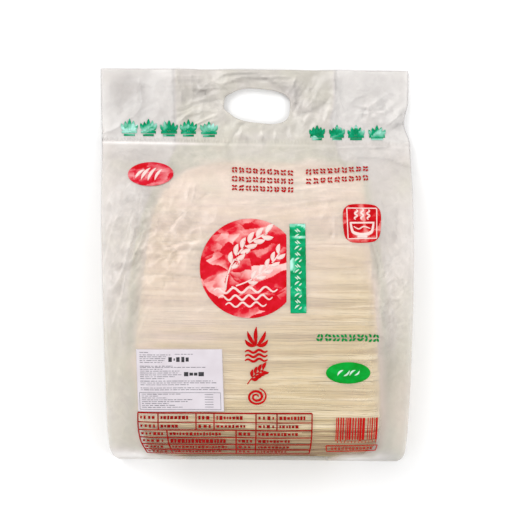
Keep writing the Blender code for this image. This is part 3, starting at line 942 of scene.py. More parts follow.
film = film_material()
rings = film_rings()
rows, around = rings.shape[:2]
points = rings.reshape(-1, 3)
values = film_values(points[:, 0], points[:, 1])
points, faces, values = only_used(points, film_faces(rows, around), values)
points[:, 1] -= LEAN * points[:, 0]
bag = make_piece("film_bag", points, faces, film, values)
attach(bag, "root")
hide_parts("filled_bag")


# --------------------------------------------------------------------------------------------
# The disc and the strip
# Printed on the outside of the film in one thin coat of flexographic ink. The disc, cut off at
# its right, carries two pale rice ears over waves, and the strip beside it a row of pale grains.
# --------------------------------------------------------------------------------------------

INK_LIFT = 0.10           # over the highest film near by, so that no fold cuts through the ink
INK_BODY = 0.05
OVER_LIFT = 0.22          # pale marks stand over the ink round them
POINT_STEP = 1.3          # between the points of a printed shape
CELL = 1.4                # width of a cell of the bag's mesh
BRUSH_POINTS = 22


def film_top(x, y):
    """Height of the highest film within a cell of the bag's mesh."""
    steps = ((0, 0), (CELL, 0), (-CELL, 0), (0, CELL), (0, -CELL))
    heights = [front_film(x + aside, y + LEAN * x + ahead) for aside, ahead in steps]
    return np.max(heights, axis=0)


def ribbon(line, half_width, columns=3):
    """Plan of a band, (station, column, 2): each point of its centre line, plus the half width
    there times the direction square to the line, from the left border to the right one."""
    line = np.asarray(line, float)
    ahead = np.gradient(line, axis=0)
    square = np.stack([-ahead[:, 1], ahead[:, 0]], axis=-1)
    square = square / np.linalg.norm(ahead, axis=-1, keepdims=True)
    half_widths = np.broadcast_to(np.asarray(half_width, float), len(line))
    reach = half_widths[:, None] * np.linspace(1, -1, columns)
    return line[:, None] + square[:, None] * reach[..., None]


def thread(knots, count):
    """Points along a smooth curve through plan knots, spaced by their share of its length."""
    knots = np.asarray(knots, float)
    along = np.concatenate([[0], np.cumsum(np.hypot(*np.diff(knots, axis=0).T))])
    at = np.linspace(0, along[-1], count)
    places = [curve_through(np.stack([along, knots[:, axis]], axis=-1), at) for axis in (0, 1)]
    return np.stack(places, axis=-1)


def bar(start, end, half_width):
    """A straight band of even width."""
    count = max(2, int(math.dist(start, end) / POINT_STEP) + 1)
    share = np.linspace(0, 1, count)[:, None]
    line = np.array(start) * (1 - share) + np.array(end) * share
    return ribbon(line, half_width, max(2, int(2 * half_width / POINT_STEP) + 2))


def outline(corners, half_width):
    """Straight bands from corner to corner."""
    return [bar(start, end, half_width) for start, end in zip(corners[:-1], corners[1:])]


def bowed_line(start, end, bow, share):
    """Points at these shares of the way between two points, on a parabola that bows aside by this
    share of the distance."""
    start, end = np.array(start, float), np.array(end, float)
    aside = np.array([start[1] - end[1], end[0] - start[0]]) * bow
    return start + (end - start) * share[:, None] + aside * (4 * share * (1 - share))[:, None]


def leaf(base, tip, half_width, bow=0.0):
    """A leaf or grain: its centre line is bowed, and its width follows a half sine, so it comes to
    a point at both ends."""
    share = np.linspace(0, 1, 9)
    return ribbon(bowed_line(base, tip, bow, share), 0.07 + half_width * np.sin(math.pi * share) ** 0.8)


def oval(centre, half_size, cut=1.0, step=POINT_STEP):
    """A filled oval as one broad band from left to right, cut off square at this share of its half
    length. Its half width is that of an ellipse."""
    count = max(9, int(math.pi * half_size[0] / step / 1.6))
    share = -np.cos(np.linspace(0.03, math.acos(-cut) if cut < 1 else math.pi - 0.03, count))
    line = np.array(centre) + share[:, None] * half_size[0] * np.array([1.0, 0.0])
    columns = max(3, int(2 * half_size[1] / step) + 2)
    return ribbon(line, half_size[1] * np.sqrt(1 - share**2), columns)


def brush(knots, half_widths):
    """A brush stroke: a smooth curve through the knots, with a smooth change between half widths
    given at even steps along it."""
    steps = np.linspace(0, 1, len(half_widths))
    at = np.linspace(0, 1, BRUSH_POINTS)
    reach = curve_through(np.stack([steps, half_widths], axis=-1), at)
    return ribbon(thread(knots, BRUSH_POINTS), reach)


def sheet_faces(shape, first):
    """Faces of a closed thin sheet: rings that run over the top and back under it, and an end
    face at each end of the band."""
    stations, columns = shape
    ring = first + ring_faces(stations, 2 * columns)
    step = np.arange(columns - 1)
    top, under = first + step, first + 2 * columns - 1 - step
    start = np.stack([top, under, under - 1, top + 1], axis=-1)
    finish = start[:, ::-1] + (stations - 1) * 2 * columns
    return [ring, start, finish]


# Painted glints along single creases, and places where the painted glare is held back, as (middle, reach,
# slant, how much paler)
GLINTS = (
    ((-10, -44), (50, 16), 0.0, -0.60),
    ((44, 28), (9, 1.2), 0.0, 1.0), ((36, 3), (1.1, 7), -0.1, 0.35), ((109, 46), (2.4, 14), -0.15, 0.9),
    ((38, -8), (1.0, 4), 0.3, 0.5), ((43, -3), (8, 70), 0.0, -0.34), ((107, 42), (20, 20), 0.0, -0.20),
    ((42, -2), (7, 13), 0.0, -0.45), ((-24, 2), (32, 40), 0.0, 0.07),
)


# The star of folds that the pinched film makes on the disc, and how pale painted glare makes each petal
PINCHED_POINT = (-27, -6)
PETAL_REACH = 25
PETALS = np.array([-0.10, -0.42, 0.05, -0.30, 0.42, -0.25, -0.05])


def crushed_facets(x, y, size, stretch, seed):
    """Flat facets of this size, from 0 to 1: each point belongs to the nearest of a jittered
    grid of centres, and each facet has its own level and its own slope away from its centre."""
    random = np.random.default_rng(seed).uniform(-1, 1, (4, 61, 67))
    u = x / size / stretch + 0.22 * soft_noise(x / 13, y / 13, seed + 1)
    v = y / size + 0.22 * soft_noise(x / 13 + 40, y / 13, seed + 2)
    column, row = np.floor(u).astype(int), np.floor(v).astype(int)
    nearest, level = np.full(u.shape, 9.0), np.zeros(u.shape)
    for right in (-1, 0, 1):
        for up in (-1, 0, 1):
            aside, ahead, height, turn = random[:, (column + right) % 61, (row + up) % 67]
            across = u - column - right - 0.5 - 0.45 * aside
            along = v - row - up - 0.5 - 0.45 * ahead
            away = np.hypot(across, along)
            slope = across * np.cos(math.pi * turn) + along * np.sin(math.pi * turn)
            level = np.where(away < nearest, 0.5 + 0.42 * height + 0.75 * slope, level)
            nearest = np.minimum(nearest, away)
    return level


def facets(x, y):
    """Where painted glare makes the ink look pale, from 0 to 1: flat facets of painted light as
    crumpled film has, stretched along the skeins, and round the pinched point petals that each
    pale from one side to the other."""
    along, across = x * 0.97 + y * 0.24, y * 0.97 - x * 0.24
    aside, ahead = x - PINCHED_POINT[0], y - PINCHED_POINT[1]
    away = np.hypot(aside, ahead)
    turns = len(PETALS) * np.arctan2(ahead, aside) / (2 * math.pi)
    turns = turns + 0.3 * soft_noise(away / 9 + 3, x * 0 + 7, 61)
    petal = 0.5 + PETALS[np.floor(turns).astype(int) % len(PETALS)] + 0.55 * (turns % 1 - 0.5)
    in_petals = away + 5 * soft_noise(x / 9, y / 9, 66) < PETAL_REACH
    level = np.where(in_petals, petal, crushed_facets(along, across, 17, 2.6, 67))
    fine = 0.22 + 0.50 * smooth_step((y - 62) / 14)
    level = (1 - fine) * level + fine * crushed_facets(along + 30, across, 7, 2.0, 71)
    level = level + 0.16 * bell(x, y, (10, -2), (32, 14)) - 0.10
    for middle, reach, slant, paler in GLINTS:
        aside, ahead = x - middle[0] - slant * (y - middle[1]), y - middle[1]
        level = level + paler * np.exp(-((aside / reach[0]) ** 2) - (ahead / reach[1]) ** 2)
    return np.clip(1.5 * level - 0.30, 0, 1)


def lay(name, plans, material, lift=INK_LIFT, body=INK_BODY):
    """One piece from plans of bands: each lies this lift over the film and is a closed sheet as
    thick as its body. Its `glare` keeps the painted glare at each point: how pale light off the
    creased film is painted there."""
    flat = np.concatenate([plan.reshape(-1, 2) for plan in plans])
    height = film_top(flat[:, 0], flat[:, 1]) + lift
    folds = facets(flat[:, 0], flat[:, 1])
    points, glare, faces, taken, first = [], [], [], 0, 0
    for plan in plans:
        stations, columns = plan.shape[:2]
        count = stations * columns
        z = height[taken:taken + count].reshape(stations, columns)
        fold = folds[taken:taken + count].reshape(stations, columns)
        top = np.concatenate([plan, (z + body)[..., None]], axis=-1)
        under = np.concatenate([plan, z[..., None]], axis=-1)
        points.append(np.concatenate([top, under[:, ::-1]], axis=1).reshape(-1, 3))
        glare.append(np.concatenate([fold, fold[:, ::-1]], axis=1).ravel())
        faces += sheet_faces((stations, columns), first)
        taken += count
        first += 2 * count
    values = {"glare": np.concatenate(glare)}
    return make_piece(name, np.concatenate(points), faces, material, values)


def ink_material(name, deep, mid, pale, opacity, glare_share):
    """Flexographic ink on film: one thin uneven coat that the light comes through, paler where
    the roller left it thin, and paler still where painted glare stands for light off the creased
    film. Matt."""
    material, tree = new_material(name)
    place = add_node(tree, "TexCoord").outputs["Object"]
    glare = add_node(tree, "Attribute", attribute_name="glare").outputs["Fac"]
    patches = add_node(
        tree, "TexNoise", {"Vector": place, "Scale": 110.0, "Detail": 3.0, "Roughness": 0.6}
    )
    # Painted glare: light off the creased film is painted into the ink as a paler colour
    painted_glare = add_node(tree, "Math", {0: glare, 1: glare_share}, operation="MULTIPLY")
    shade = add_node(tree, "Math", {0: patches, 1: 0.5, 2: painted_glare}, operation="MULTIPLY_ADD")
    colour = add_node(tree, "ValToRGB", {"Fac": shade}, ((0.18, deep), (0.36, mid), (0.85, pale)))
    shader = add_node(
        tree, "BsdfPrincipled", {
            "Base Color": colour, "Roughness": 0.5, "Specular IOR Level": 0.08, "Alpha": opacity,
        }
    )
    add_node(tree, "OutputMaterial", {"Surface": shader})
    return material


def ear(foot, tip, bow, grains, size, side_turn=0.5):
    """A rice ear: a thin bowed stem, and along it grains of this (length, half width), to one side
    and the other in turn, that lean towards its tip."""
    share = np.linspace(0, 1, 13)
    stem = bowed_line(foot, tip, bow, share)
    plans = [ribbon(stem, size[1] * 0.34)]
    for order, at in enumerate(np.linspace(0.28, 0.98, grains)):
        start = np.array([np.interp(at, share, stem[:, axis]) for axis in (0, 1)])
        way = np.array([np.interp(min(at + 0.05, 1), share, stem[:, axis]) for axis in (0, 1)]) - start
        if at > 0.96:
            way = stem[-1] - stem[-2]
        angle = math.atan2(way[1], way[0]) + side_turn * (1 if order % 2 else -1)
        reach = size[0] * np.array([math.cos(angle), math.sin(angle)])
        plans.append(leaf(start, start + reach, size[1], 0.12 if order % 2 else -0.12))
    return plans


def wave_line(start, end, swing, count, half_width):
    """A wavy line: the straight way between two points plus a sine square to it."""
    start, end = np.array(start, float), np.array(end, float)
    share = np.linspace(0, 1, 10 * count + 1)
    aside = np.array([start[1] - end[1], end[0] - start[0]]) / math.dist(start, end)
    swung = swing * np.sin(2 * math.pi * count * share)
    line = start + (end - start) * share[:, None] + aside * swung[:, None]
    return ribbon(line, half_width * (0.45 + 0.55 * np.sin(math.pi * share) ** 0.5))


DISC_CENTRE = (-5.9, -3.2)
DISC_RADIUS = 50.0
DISC_CUT = 0.74           # the share of its radius at which its right side is cut off

red_ink = ink_material("red_ink", "#C4000C", "#D6162C", "#F9C6C0", 0.96, 0.60)
green_ink = ink_material("green_ink", "#008048", "#08AA72", "#B4EBDC", 0.98, 0.62)
bare_mark = ink_material("bare_mark", "#F6D3CC", "#F9E2DC", "#FDF3EF", 0.84, 0.10)
pale_mark = ink_material("pale_mark", "#C9E6D2", "#DDF1E2", "#EFFAF2", 0.84, 0.10)

disc = lay("print_disc", [oval(DISC_CENTRE, (DISC_RADIUS, DISC_RADIUS), DISC_CUT, 0.7)], red_ink)
disc_marks = [
    *ear((-30, -24), (12, 32), 0.16, 12, (12.5, 2.5)),
    *ear((-24, -22), (24, 12), -0.10, 10, (10.5, 2.1)),
    wave_line((-42, -26), (22, -24), 2.6, 4, 1.2),
    wave_line((-37, -33), (17, -32), 2.4, 4, 1.1),
    wave_line((-30, -40), (11, -39), 2.2, 3, 1.0),
]
disc_design = lay("print_disc_marks", disc_marks, bare_mark, OVER_LIFT)
strip = lay("print_strip", [bar((42.3, 41.6), (43.0, -48.2), 8.0)], green_ink)
strip_marks = []
for order, y in enumerate(np.linspace(35, -42, 14)):
    lean = 1 if order % 2 else -1
    strip_marks += [
        leaf((42.4 - 3.0 * lean, y - 1.6), (42.8 + 1.2 * lean, y + 2.0), 0.75, 0.1),
        leaf((42.8 + 0.4 * lean, y - 2.3), (42.8 + 3.4 * lean, y + 0.4), 0.6, -0.1),
    ]
strip_design = lay("print_strip_marks", strip_marks, pale_mark, OVER_LIFT)
for piece, slot in (
    (disc, "print_red"), (disc_design, "print_red"), (strip, "print_green"), (strip_design, "print_green"),
):
    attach(piece, "root")


# --------------------------------------------------------------------------------------------
# The ovals, the square mark and the brush marks
# The same two inks: a red oval and a green one with pale grains, a red square with a pale bowl,
# and a column of brush strokes under the disc.
# --------------------------------------------------------------------------------------------

RED_OVAL = ((-107.6, 93.3), (23.5, 12.8))
GREEN_OVAL = ((92.7, -107.8), (22.3, 10.8))
SQUARE = ((88.8, 60.6), (126.2, 60.2), (124.6, 24.2), (90.6, 23.4))
COLUMN_X = 1.0            # the column of brush strokes
LEAVES_Y = -80.5

pink_ink = ink_material("pink_ink", "#C8000E", "#D01A34", "#F5B4B6", 0.97, 0.34)
leaf_ink = ink_material("leaf_green_ink", "#008820", "#00A034", "#3CB866", 0.99, 0.10)
red_oval = lay("print_red_oval", [oval(*RED_OVAL, step=0.8)], pink_ink)
red_oval_marks = [
    leaf((-123, 89), (-114, 98), 1.5, 0.1), leaf((-117, 87), (-108, 100), 1.6, 0.1),
    leaf((-110, 86), (-102, 100), 1.6, 0.1), leaf((-103, 86.5), (-96, 98.5), 1.4, 0.1),
]
red_oval_design = lay("print_red_oval_marks", red_oval_marks, bare_mark, OVER_LIFT)
green_oval = lay("print_green_oval", [oval(*GREEN_OVAL)], leaf_ink)
green_oval_marks = [
    leaf((82, -110.5), (88, -105.0), 0.9, 0.15), leaf((88, -110.8), (94, -105.2), 0.9, -0.15),
    leaf((94, -110.6), (100, -105.0), 0.9, 0.15), leaf((99, -110.2), (104, -105.6), 0.8, -0.15),
]
green_oval_design = lay("print_green_oval_marks", green_oval_marks, pale_mark, OVER_LIFT)


def between(corners, across, down):
    """Plan points inside four corners, given from the top left round to the bottom left, at
    these shares across and down."""
    top = np.multiply.outer(1 - across, corners[0]) + np.multiply.outer(across, corners[1])
    bottom = np.multiply.outer(1 - across, corners[3]) + np.multiply.outer(across, corners[2])
    return top * (1 - down)[..., None] + bottom * down[..., None]


def field(corners, steps):
    """Plan of a filled field inside four corners: its sides bow out in parabolas, and its corners
    are drawn in, by the fifth power of how near each point is to one, so that they are round."""
    down, across = np.meshgrid(np.linspace(0, 1, steps), np.linspace(0, 1, steps), indexing="ij")
    aside, ahead = 2 * across - 1, 2 * down - 1
    rounding = 1 - 0.13 * np.abs(aside * ahead) ** 5
    bowed_aside = (1 + 0.08 * (1 - ahead**2)) * aside * rounding
    bowed_ahead = (1 + 0.08 * (1 - aside**2)) * ahead * rounding
    plan = between(corners, (bowed_aside + 1) / 2, (bowed_ahead + 1) / 2)
    return plan.transpose(1, 0, 2)


square_red = ink_material("square_red_ink", "#B0000A", "#C80C18", "#F5B8B0", 0.97, 0.40)
square = lay("print_square", [field(SQUARE, 46)], square_red)
frame_across, frame_down = np.array([0.09, 0.91, 0.92, 0.08, 0.09]), np.array([0.08, 0.08, 0.92, 0.92, 0.08])
square_marks = [
    *outline(between(SQUARE, frame_across, frame_down), 0.55),
    brush(((96, 42), (98, 33.5), (107.5, 30.5), (117, 33.5), (119, 42)), (1.0, 1.5, 1.8, 1.5, 1.0)),
    bar((95, 42.6), (120, 42.8), 0.9),
    bar((102.5, 28.4), (112.5, 28.4), 0.9),
    wave_line((101, 46), (102, 56), 1.3, 2, 0.95),
    wave_line((107.5, 46), (108, 57), 1.3, 2, 0.95),
    wave_line((114, 46), (114, 56), 1.3, 2, 0.95),
    brush(((99, 39), (104, 36.4), (109, 38.8), (115.5, 36.8)), (0.4, 0.7, 0.7, 0.4)),
]
square_design = lay("print_square_marks", square_marks, bare_mark, OVER_LIFT)

brush_red = ink_material("brush_red_ink", "#B20004", "#C40A0A", "#DE5A50", 0.98, 0.10)
brush_marks = []
for angle, reach, turn in ((28, 13, -0.2), (58, 17, -0.1), (90, 19, 0.05), (122, 17, 0.1), (152, 13, 0.2)):
    way = math.radians(angle)
    tip = (COLUMN_X + reach * math.cos(way), LEAVES_Y + reach * math.sin(way))
    brush_marks.append(leaf((COLUMN_X, LEAVES_Y), tip, 1.9, turn))
for y in (-86.2, -90.6, -95.0):
    brush_marks.append(wave_line((-10.5, y - 0.6), (12, y + 0.6), 1.3, 2, 1.25))
brush_marks += ear((-8, -119), (8, -104.5), 0.08, 8, (8.2, 1.7), 0.7)
turns = np.linspace(0, 4.4 * math.pi, 60)
swirl_x = COLUMN_X + (1.6 + 0.62 * turns) * np.cos(turns)
swirl = np.stack([swirl_x, -131.6 + (1.4 + 0.52 * turns) * np.sin(turns)], axis=-1)
brush_marks.append(ribbon(swirl, 0.5 + 0.75 * np.sin(np.linspace(0.1, 3.0, 60))))
brushed = lay("print_brush_marks", brush_marks, brush_red)
for piece, slot in (
    (red_oval, "print_red"), (red_oval_design, "print_red"), (green_oval, "print_green"),
    (green_oval_design, "print_green"), (square, "print_red"), (square_design, "print_red"),
    (brushed, "print_red"),
):
    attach(piece, "root")


# --------------------------------------------------------------------------------------------
# The rows of small marks, and the seedlings across the head
# Grain marks stand where such a pack carries its small print, and a row of seedlings across the
# head where it carries its heading.
# --------------------------------------------------------------------------------------------

def grain_row(start, end, marks, size, strokes, half_width, rng):
    """A row of marks: each two tiers of short grains side by side, leaning at random one way or
    the other."""
    plans = []
    for share in (np.arange(marks) + 0.5) / marks:
        centre = np.array(start) * (1 - share) + np.array(end) * share
        for tier in (-0.24, 0.24):
            for place in (np.arange(strokes) + 0.5) / strokes - 0.5:
                middle = centre + size * np.array([place * 0.86, tier + rng.uniform(-0.04, 0.04)])
                angle = math.radians(rng.choice((35, 145, 60, 120)) + rng.uniform(-8, 8))
                reach = size * 0.24 * np.array([math.cos(angle), math.sin(angle)])
                plans.append(leaf(middle - reach, middle + reach, half_width, rng.uniform(-0.15, 0.15)))
    return plans


rng = np.random.default_rng(41)
row_marks = []
for start, end in (
    ((-25, 98.1), (39.4, 94.2)), ((-25, 88.4), (39.4, 85.2)), ((-25, 78.9), (39.4, 76.2)),
    ((50.8, 95.3), (116.9, 99.2)), ((50.6, 85.3), (116.3, 89.5)),
):
    row_marks += grain_row(start, end, 9, 6.6, 2, 0.92, rng)
row_ink = ink_material("row_red_ink", "#A80008", "#B60C12", "#D46C66", 0.97, 0.10)
small_rows = lay("print_rows", row_marks, row_ink)
line_ink = ink_material("line_green_ink", "#007A30", "#0A8C44", "#66B98A", 0.96, 0.10)
line_marks = grain_row((60.5, -72.4), (125, -73.2), 8, 8.4, 2, 1.15, rng)
green_row = lay("print_green_row", line_marks, line_ink)

head_marks = []
for left, right, low, high in (
    (-139.4, -123.4, 133.7, 152), (-119.3, -103.8, 133.6, 152), (-98.6, -81.9, 133.5, 151.6),
    (-77.9, -62.1, 133.2, 151.2), (-56.9, -40.2, 132.8, 150.4), (56.8, 71.4, 129.5, 145.6),
    (77.7, 92.2, 129.6, 145.4), (96.5, 113.1, 129.6, 145.4), (118.4, 135, 129.8, 145.4),
):
    middle, tall, wide = (left + right) / 2, high - low, right - left
    for way in (-1.0, -0.52, 0.0, 0.52, 1.0):
        base = (middle + 0.16 * wide * way, low + 0.29 * tall)
        reach = tall * (1.0 - 0.26 * abs(way) + rng.uniform(-0.05, 0.05))
        tip = (middle + 0.52 * wide * way, low + reach)
        head_marks.append(leaf(base, tip, 2.0, -0.12 * way))
    head_marks.append(bar((left, low + 0.25 * tall), (right, low + 0.25 * tall), 1.35))
    head_marks.append(bar((left + 2.2, low + 0.08 * tall), (right - 2.2, low + 0.08 * tall), 1.1))
head_ink = ink_material("head_green_ink", "#00784A", "#009C6E", "#C0F4EA", 0.97, 0.50)
heading = lay("print_head_seedlings", head_marks, head_ink)
for piece, slot in ((small_rows, "print_red"), (green_row, "print_green"), (heading, "print_green")):
    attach(piece, "root")


# --------------------------------------------------------------------------------------------
# The table and the bars
# Ruled in red over the foot: six rows of cells with dashes for their words, and at their right a
# block of uneven bars that says nothing. The film turns down here, so the ruling draws in.
# --------------------------------------------------------------------------------------------

TABLE_RULES = (-147.6, -157.0, -164.8, -172.4, -179.4, -184.8, -189.4)
TABLE_PULL = ((-190, 8.8), (-184.8, 6.6), (-179.4, 3.7), (-172.4, 1.6), (-164.8, 0.5), (-157, 0), (-147, 0))
TABLE_SPAN = (-118.0, 56.6)
TABLE_ROWS = len(TABLE_RULES) - 1
UPPER_ROWS = 2
UPPER_COLUMNS = (TABLE_SPAN[0], -97.5, -59.6, -41.5, 0.5, 21.5, TABLE_SPAN[1])
LOWER_COLUMNS = (TABLE_SPAN[0], -89.1, -19.5, 0.5, TABLE_SPAN[1])
RULE_HALF = 0.66


def ruled(x, y):
    """Plan place of a point of the table: the foot's turn pulls its ends in, the left one more,
    and the ruling falls a little to the right."""
    share = (x - TABLE_SPAN[0]) / (TABLE_SPAN[1] - TABLE_SPAN[0])
    drawn_in = curve_through(TABLE_PULL, y) * ((1 - share) ** 2 - 0.3 * share)
    return np.stack([x + drawn_in, y - 1.5 * share * (1 - share / 3)], axis=-1)


def rule(start, end, half_width):
    """A ruled line of the table between two of its places."""
    count = max(3, int(math.dist(start, end) / POINT_STEP) + 1)
    share = np.linspace(0, 1, count)
    line = ruled(start[0] + (end[0] - start[0]) * share, start[1] + (end[1] - start[1]) * share)
    return ribbon(line, half_width)


table_plans = []
for order, y in enumerate(TABLE_RULES):
    half_width = RULE_HALF * (1.2 if order == 0 else 0.85)
    table_plans.append(rule((TABLE_SPAN[0], y), (TABLE_SPAN[1], y), half_width))
for columns, top, bottom in ((UPPER_COLUMNS, 0, UPPER_ROWS), (LOWER_COLUMNS, UPPER_ROWS, TABLE_ROWS)):
    for x in columns:
        table_plans.append(rule((x, TABLE_RULES[top]), (x, TABLE_RULES[bottom]), RULE_HALF))
for row in range(TABLE_ROWS):
    columns = UPPER_COLUMNS if row < UPPER_ROWS else LOWER_COLUMNS
    top, bottom = TABLE_RULES[row], TABLE_RULES[row + 1]
    middle, tall = (top + bottom) / 2, (top - bottom) * 0.24
    for order, (left, right) in enumerate(zip(columns[:-1], columns[1:])):
        filled = 0.86 if order % 2 == 0 else rng.uniform(0.45, 0.9)
        x, stop = left + 2.4, left + (right - left) * filled
        while x < stop - 1.5:
            wide = rng.uniform(1.6, 3.4)
            heavy = tall * (1.15 if row == 3 and order == 1 else rng.uniform(0.55, 0.9))
            table_plans.append(rule((x, middle), (min(x + wide, stop), middle), heavy))
            x += wide + (rng.uniform(0.8, 1.4) if order % 2 else rng.uniform(1.2, 2.6))
table_ink = ink_material("table_red_ink", "#8A0000", "#A00404", "#CE6660", 0.98, 0.10)
table = lay("print_table", table_plans, table_ink)

BARS_SPAN = (81.4, 123.2)
BARS_TOP = -152.8
BARS_FOOT = -175.2

bars = []
x = BARS_SPAN[0]
while x < BARS_SPAN[1]:
    wide = rng.choice((0.9, 1.4, 2.0, 2.6), p=(0.3, 0.3, 0.25, 0.15))
    longer = 1.2 if rng.random() < 0.2 else 0
    bars.append(bar((x, BARS_TOP), (x - 0.9, BARS_FOOT - longer), wide / 2))
    x += wide + rng.choice((0.9, 1.3, 1.8), p=(0.4, 0.4, 0.2))
bars += grain_row((80.5, -177.4), (122.5, -177.0), 12, 2.4, 1, 0.45, rng)
bars += outline(((70.8, -181.5), (122.5, -181.0), (120.9, -186.6), (71.4, -187.4), (70.8, -181.5)), 0.5)
bars += grain_row((75, -184.5), (118, -184.0), 12, 2.8, 2, 0.5, rng)
bar_ink = ink_material("bar_red_ink", "#B00404", "#C21210", "#DC6C5C", 0.97, 0.10)
bar_block = lay("print_bars", bars, bar_ink)
for piece in (table, bar_block):
    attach(piece, "root")


# --------------------------------------------------------------------------------------------
# The importer's label
# Coated white paper with a self-adhesive back, laid over the film. Its small print is fine grey
# lines and a few dark bars, with a thin framed box in the lower third.
# --------------------------------------------------------------------------------------------

LABEL_CORNERS = ((-120.0, -84.4), (-33.4, -84.0), (-31.4, -146.4), (-117.6, -146.6))
LABEL_LIFT = 0.10
LABEL_BODY = 0.12
LABEL_WIDTH = 87.0
TONER_LIFT = 0.26
TONER_BODY = 0.02


def paper_material():
    """Coated label paper: smooth white clay coating with a faint cloudiness from the fibres, cool
    white from its brightener, and a low sheen."""
    material, tree = new_material("label_paper")
    place = add_node(tree, "TexCoord").outputs["Object"]
    cloud = add_node(tree, "TexNoise", {"Vector": place, "Scale": 70.0, "Detail": 4.0})
    colour = add_node(tree, "ValToRGB", {"Fac": cloud}, ((0.35, "#CEC6CC"), (0.65, "#D4CDD3")))
    fibre = add_node(tree, "TexNoise", {"Vector": place, "Scale": 2600.0, "Detail": 2.0})
    bump = add_node(tree, "Bump", {"Height": fibre, "Strength": 0.15, "Distance": 0.00005})
    shader = add_node(tree, "BsdfPrincipled", {"Base Color": colour, "Roughness": 0.5, "Normal": bump})
    add_node(tree, "OutputMaterial", {"Surface": shader})
    return material


across, down = np.meshgrid(np.linspace(0, 1, 67), np.linspace(0, 1, 49), indexing="ij")
label = lay("paper_label", [between(LABEL_CORNERS, across, down)], paper_material(), LABEL_LIFT, LABEL_BODY)
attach(label, "root")
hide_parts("label")


def label_line(left, right, down, half_width):
    """A thin band across the label, from one share of its width to another."""
    count = max(2, int((right - left) * LABEL_WIDTH / POINT_STEP) + 1)
    line = between(LABEL_CORNERS, np.linspace(left, right, count), np.full(count, down))
    return ribbon(line, half_width, 2)


def toner_material(name, dark, light):
    """Fused black toner: matt, a little grey where it lies thin."""
    material, tree = new_material(name)
    place = add_node(tree, "TexCoord").outputs["Object"]
    thin = add_node(tree, "TexNoise", {"Vector": place, "Scale": 500.0, "Detail": 3.0})
    colour = add_node(tree, "ValToRGB", {"Fac": thin}, ((0.40, dark), (0.70, light)))
    shader = add_node(tree, "BsdfPrincipled", {"Base Color": colour, "Roughness": 0.6})
    add_node(tree, "OutputMaterial", {"Surface": shader})
    return material


# Blocks of fine lines, in shares of the label: where each starts across and down it, and how far
# across each of its lines ends
FINE_BLOCKS = (
    (0.04, 0.05, (0.14,)), (0.04, 0.09, (0.40, 0.36, 0.34, 0.33, 0.30)), (0.45, 0.08, (0.66,)),
    (0.04, 0.27, (0.42,)), (0.04, 0.29, (0.80, 0.30, 0.50, 0.48, 0.52, 0.44, 0.32)),
    (0.04, 0.51, (0.88, 0.92, 0.60)), (0.04, 0.62, (0.92, 0.94)),
    (0.05, 0.72, (0.50, 0.24, 0.34, 0.64, 0.58, 0.36, 0.44, 0.52)),
)
LINE_SPACING = 0.03

fine_print = []
for left, highest, ends in FINE_BLOCKS:
    for order, end in enumerate(ends):
        down = round(highest + LINE_SPACING * order, 2)
        x = left
        while x < end:
            reach = min(x + rng.uniform(0.02, 0.07), end)
            fine_print.append(label_line(x, reach, down, rng.uniform(0.22, 0.34)))
            x = reach + rng.uniform(0.006, 0.014)
fine_print += [label_line(0.78, 0.88, down, 0.25) for down in (0.73, 0.77, 0.81, 0.85, 0.89, 0.93)]
frame_across = np.array([0.025, 0.965, 0.965, 0.025, 0.025])
frame_down = np.array([0.695, 0.70, 0.97, 0.965, 0.695])
fine_print += outline(between(LABEL_CORNERS, frame_across, frame_down), 0.22)
grey_toner = toner_material("grey_toner", "#57555D", "#85838C")
grey_print = lay("label_fine_print", fine_print, grey_toner, TONER_LIFT, TONER_BODY)
bold_print = []
for left, right, tall in (
    (0.375, 0.415, 2.6), (0.435, 0.45, 1.2), (0.465, 0.505, 2.6), (0.525, 0.56, 2.9), (0.575, 0.61, 2.3),
):
    bold_print.append(label_line(left, right, 0.165, tall * 0.9))
for left, right, tall in ((0.55, 0.60, 2.1), (0.612, 0.655, 1.5), (0.665, 0.705, 1.5), (0.717, 0.78, 2.1)):
    bold_print.append(label_line(left, right, 0.40, tall))
black_toner = toner_material("black_toner", "#1C1B1F", "#3A393F")
dark_print = lay("label_dark_bars", bold_print, black_toner, TONER_LIFT, TONER_BODY)
for piece in (grey_print, dark_print):
    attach(piece, "root")


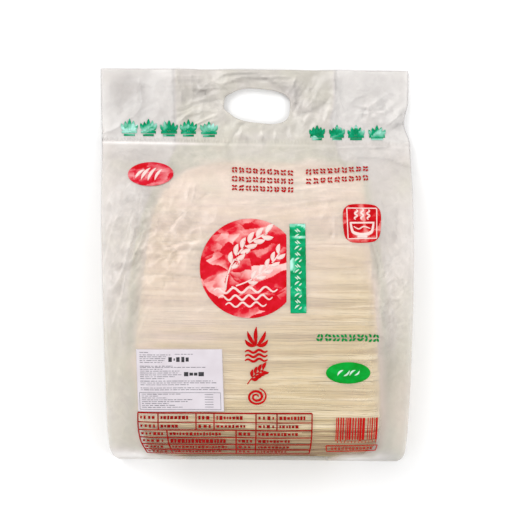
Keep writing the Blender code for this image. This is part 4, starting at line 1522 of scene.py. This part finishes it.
# --------------------------------------------------------------------------------------------
# The room
# A matt white floor, a large soft light at the upper left with a weaker one at the right, an even
# white surround, and a camera straight above. None of it is part of the pack.
# --------------------------------------------------------------------------------------------

FLOOR_REACH = 4.0                 # metres
SENSOR_WIDTH = 36.0
CAMERA_HEIGHT = 1600.0
CAMERA_OVER = (0.5, 9.1)          # the place that it looks down on
SEEN_WIDTH = 537.6                # how much of the floor it takes in

floor_mesh = bpy.data.meshes.new("floor")
floor_corners = [(x * FLOOR_REACH, y * FLOOR_REACH, 0) for x, y in ((-1, -1), (1, -1), (1, 1), (-1, 1))]
floor_mesh.from_pydata(floor_corners, [], [(0, 1, 2, 3)])
floor = bpy.data.objects.new("floor", floor_mesh)
bpy.context.scene.collection.objects.link(floor)
floor_paint, tree = new_material("studio_floor")
shader = add_node(tree, "BsdfPrincipled", {"Base Color": (0.97, 0.97, 0.97, 1), "Roughness": 0.9})
add_node(tree, "OutputMaterial", {"Surface": shader})
floor_mesh.materials.append(floor_paint)


def softbox(name, place, size, power):
    """A square area light, in metres and watts, turned to face the middle of the pack."""
    lamp = bpy.data.lights.new(name, "AREA")
    lamp.size = size
    lamp.energy = power
    light = bpy.data.objects.new(name, lamp)
    light.location = place
    light.rotation_euler = (-Vector(place)).to_track_quat("-Z", "Y").to_euler()
    bpy.context.scene.collection.objects.link(light)


softbox("key", (-1.1, 1.2, 1.7), 1.1, 18.5)
softbox("fill", (1.3, -0.3, 1.5), 0.9, 8.5)
world = bpy.data.worlds.new("studio")
world.use_nodes = True
surround = world.node_tree.nodes["Background"]
surround.inputs["Color"].default_value = (1, 1, 1, 1)
surround.inputs["Strength"].default_value = 0.87
bpy.context.scene.world = world
bpy.context.scene.view_settings.view_transform = "Standard"

lens = bpy.data.cameras.new("camera")
lens.sensor_width = SENSOR_WIDTH
lens.lens = SENSOR_WIDTH * CAMERA_HEIGHT / SEEN_WIDTH
lens.clip_end = 20.0
camera = bpy.data.objects.new("camera", lens)
camera.location = (CAMERA_OVER[0] * MM, CAMERA_OVER[1] * MM, CAMERA_HEIGHT * MM)
bpy.context.scene.collection.objects.link(camera)
bpy.context.scene.camera = camera
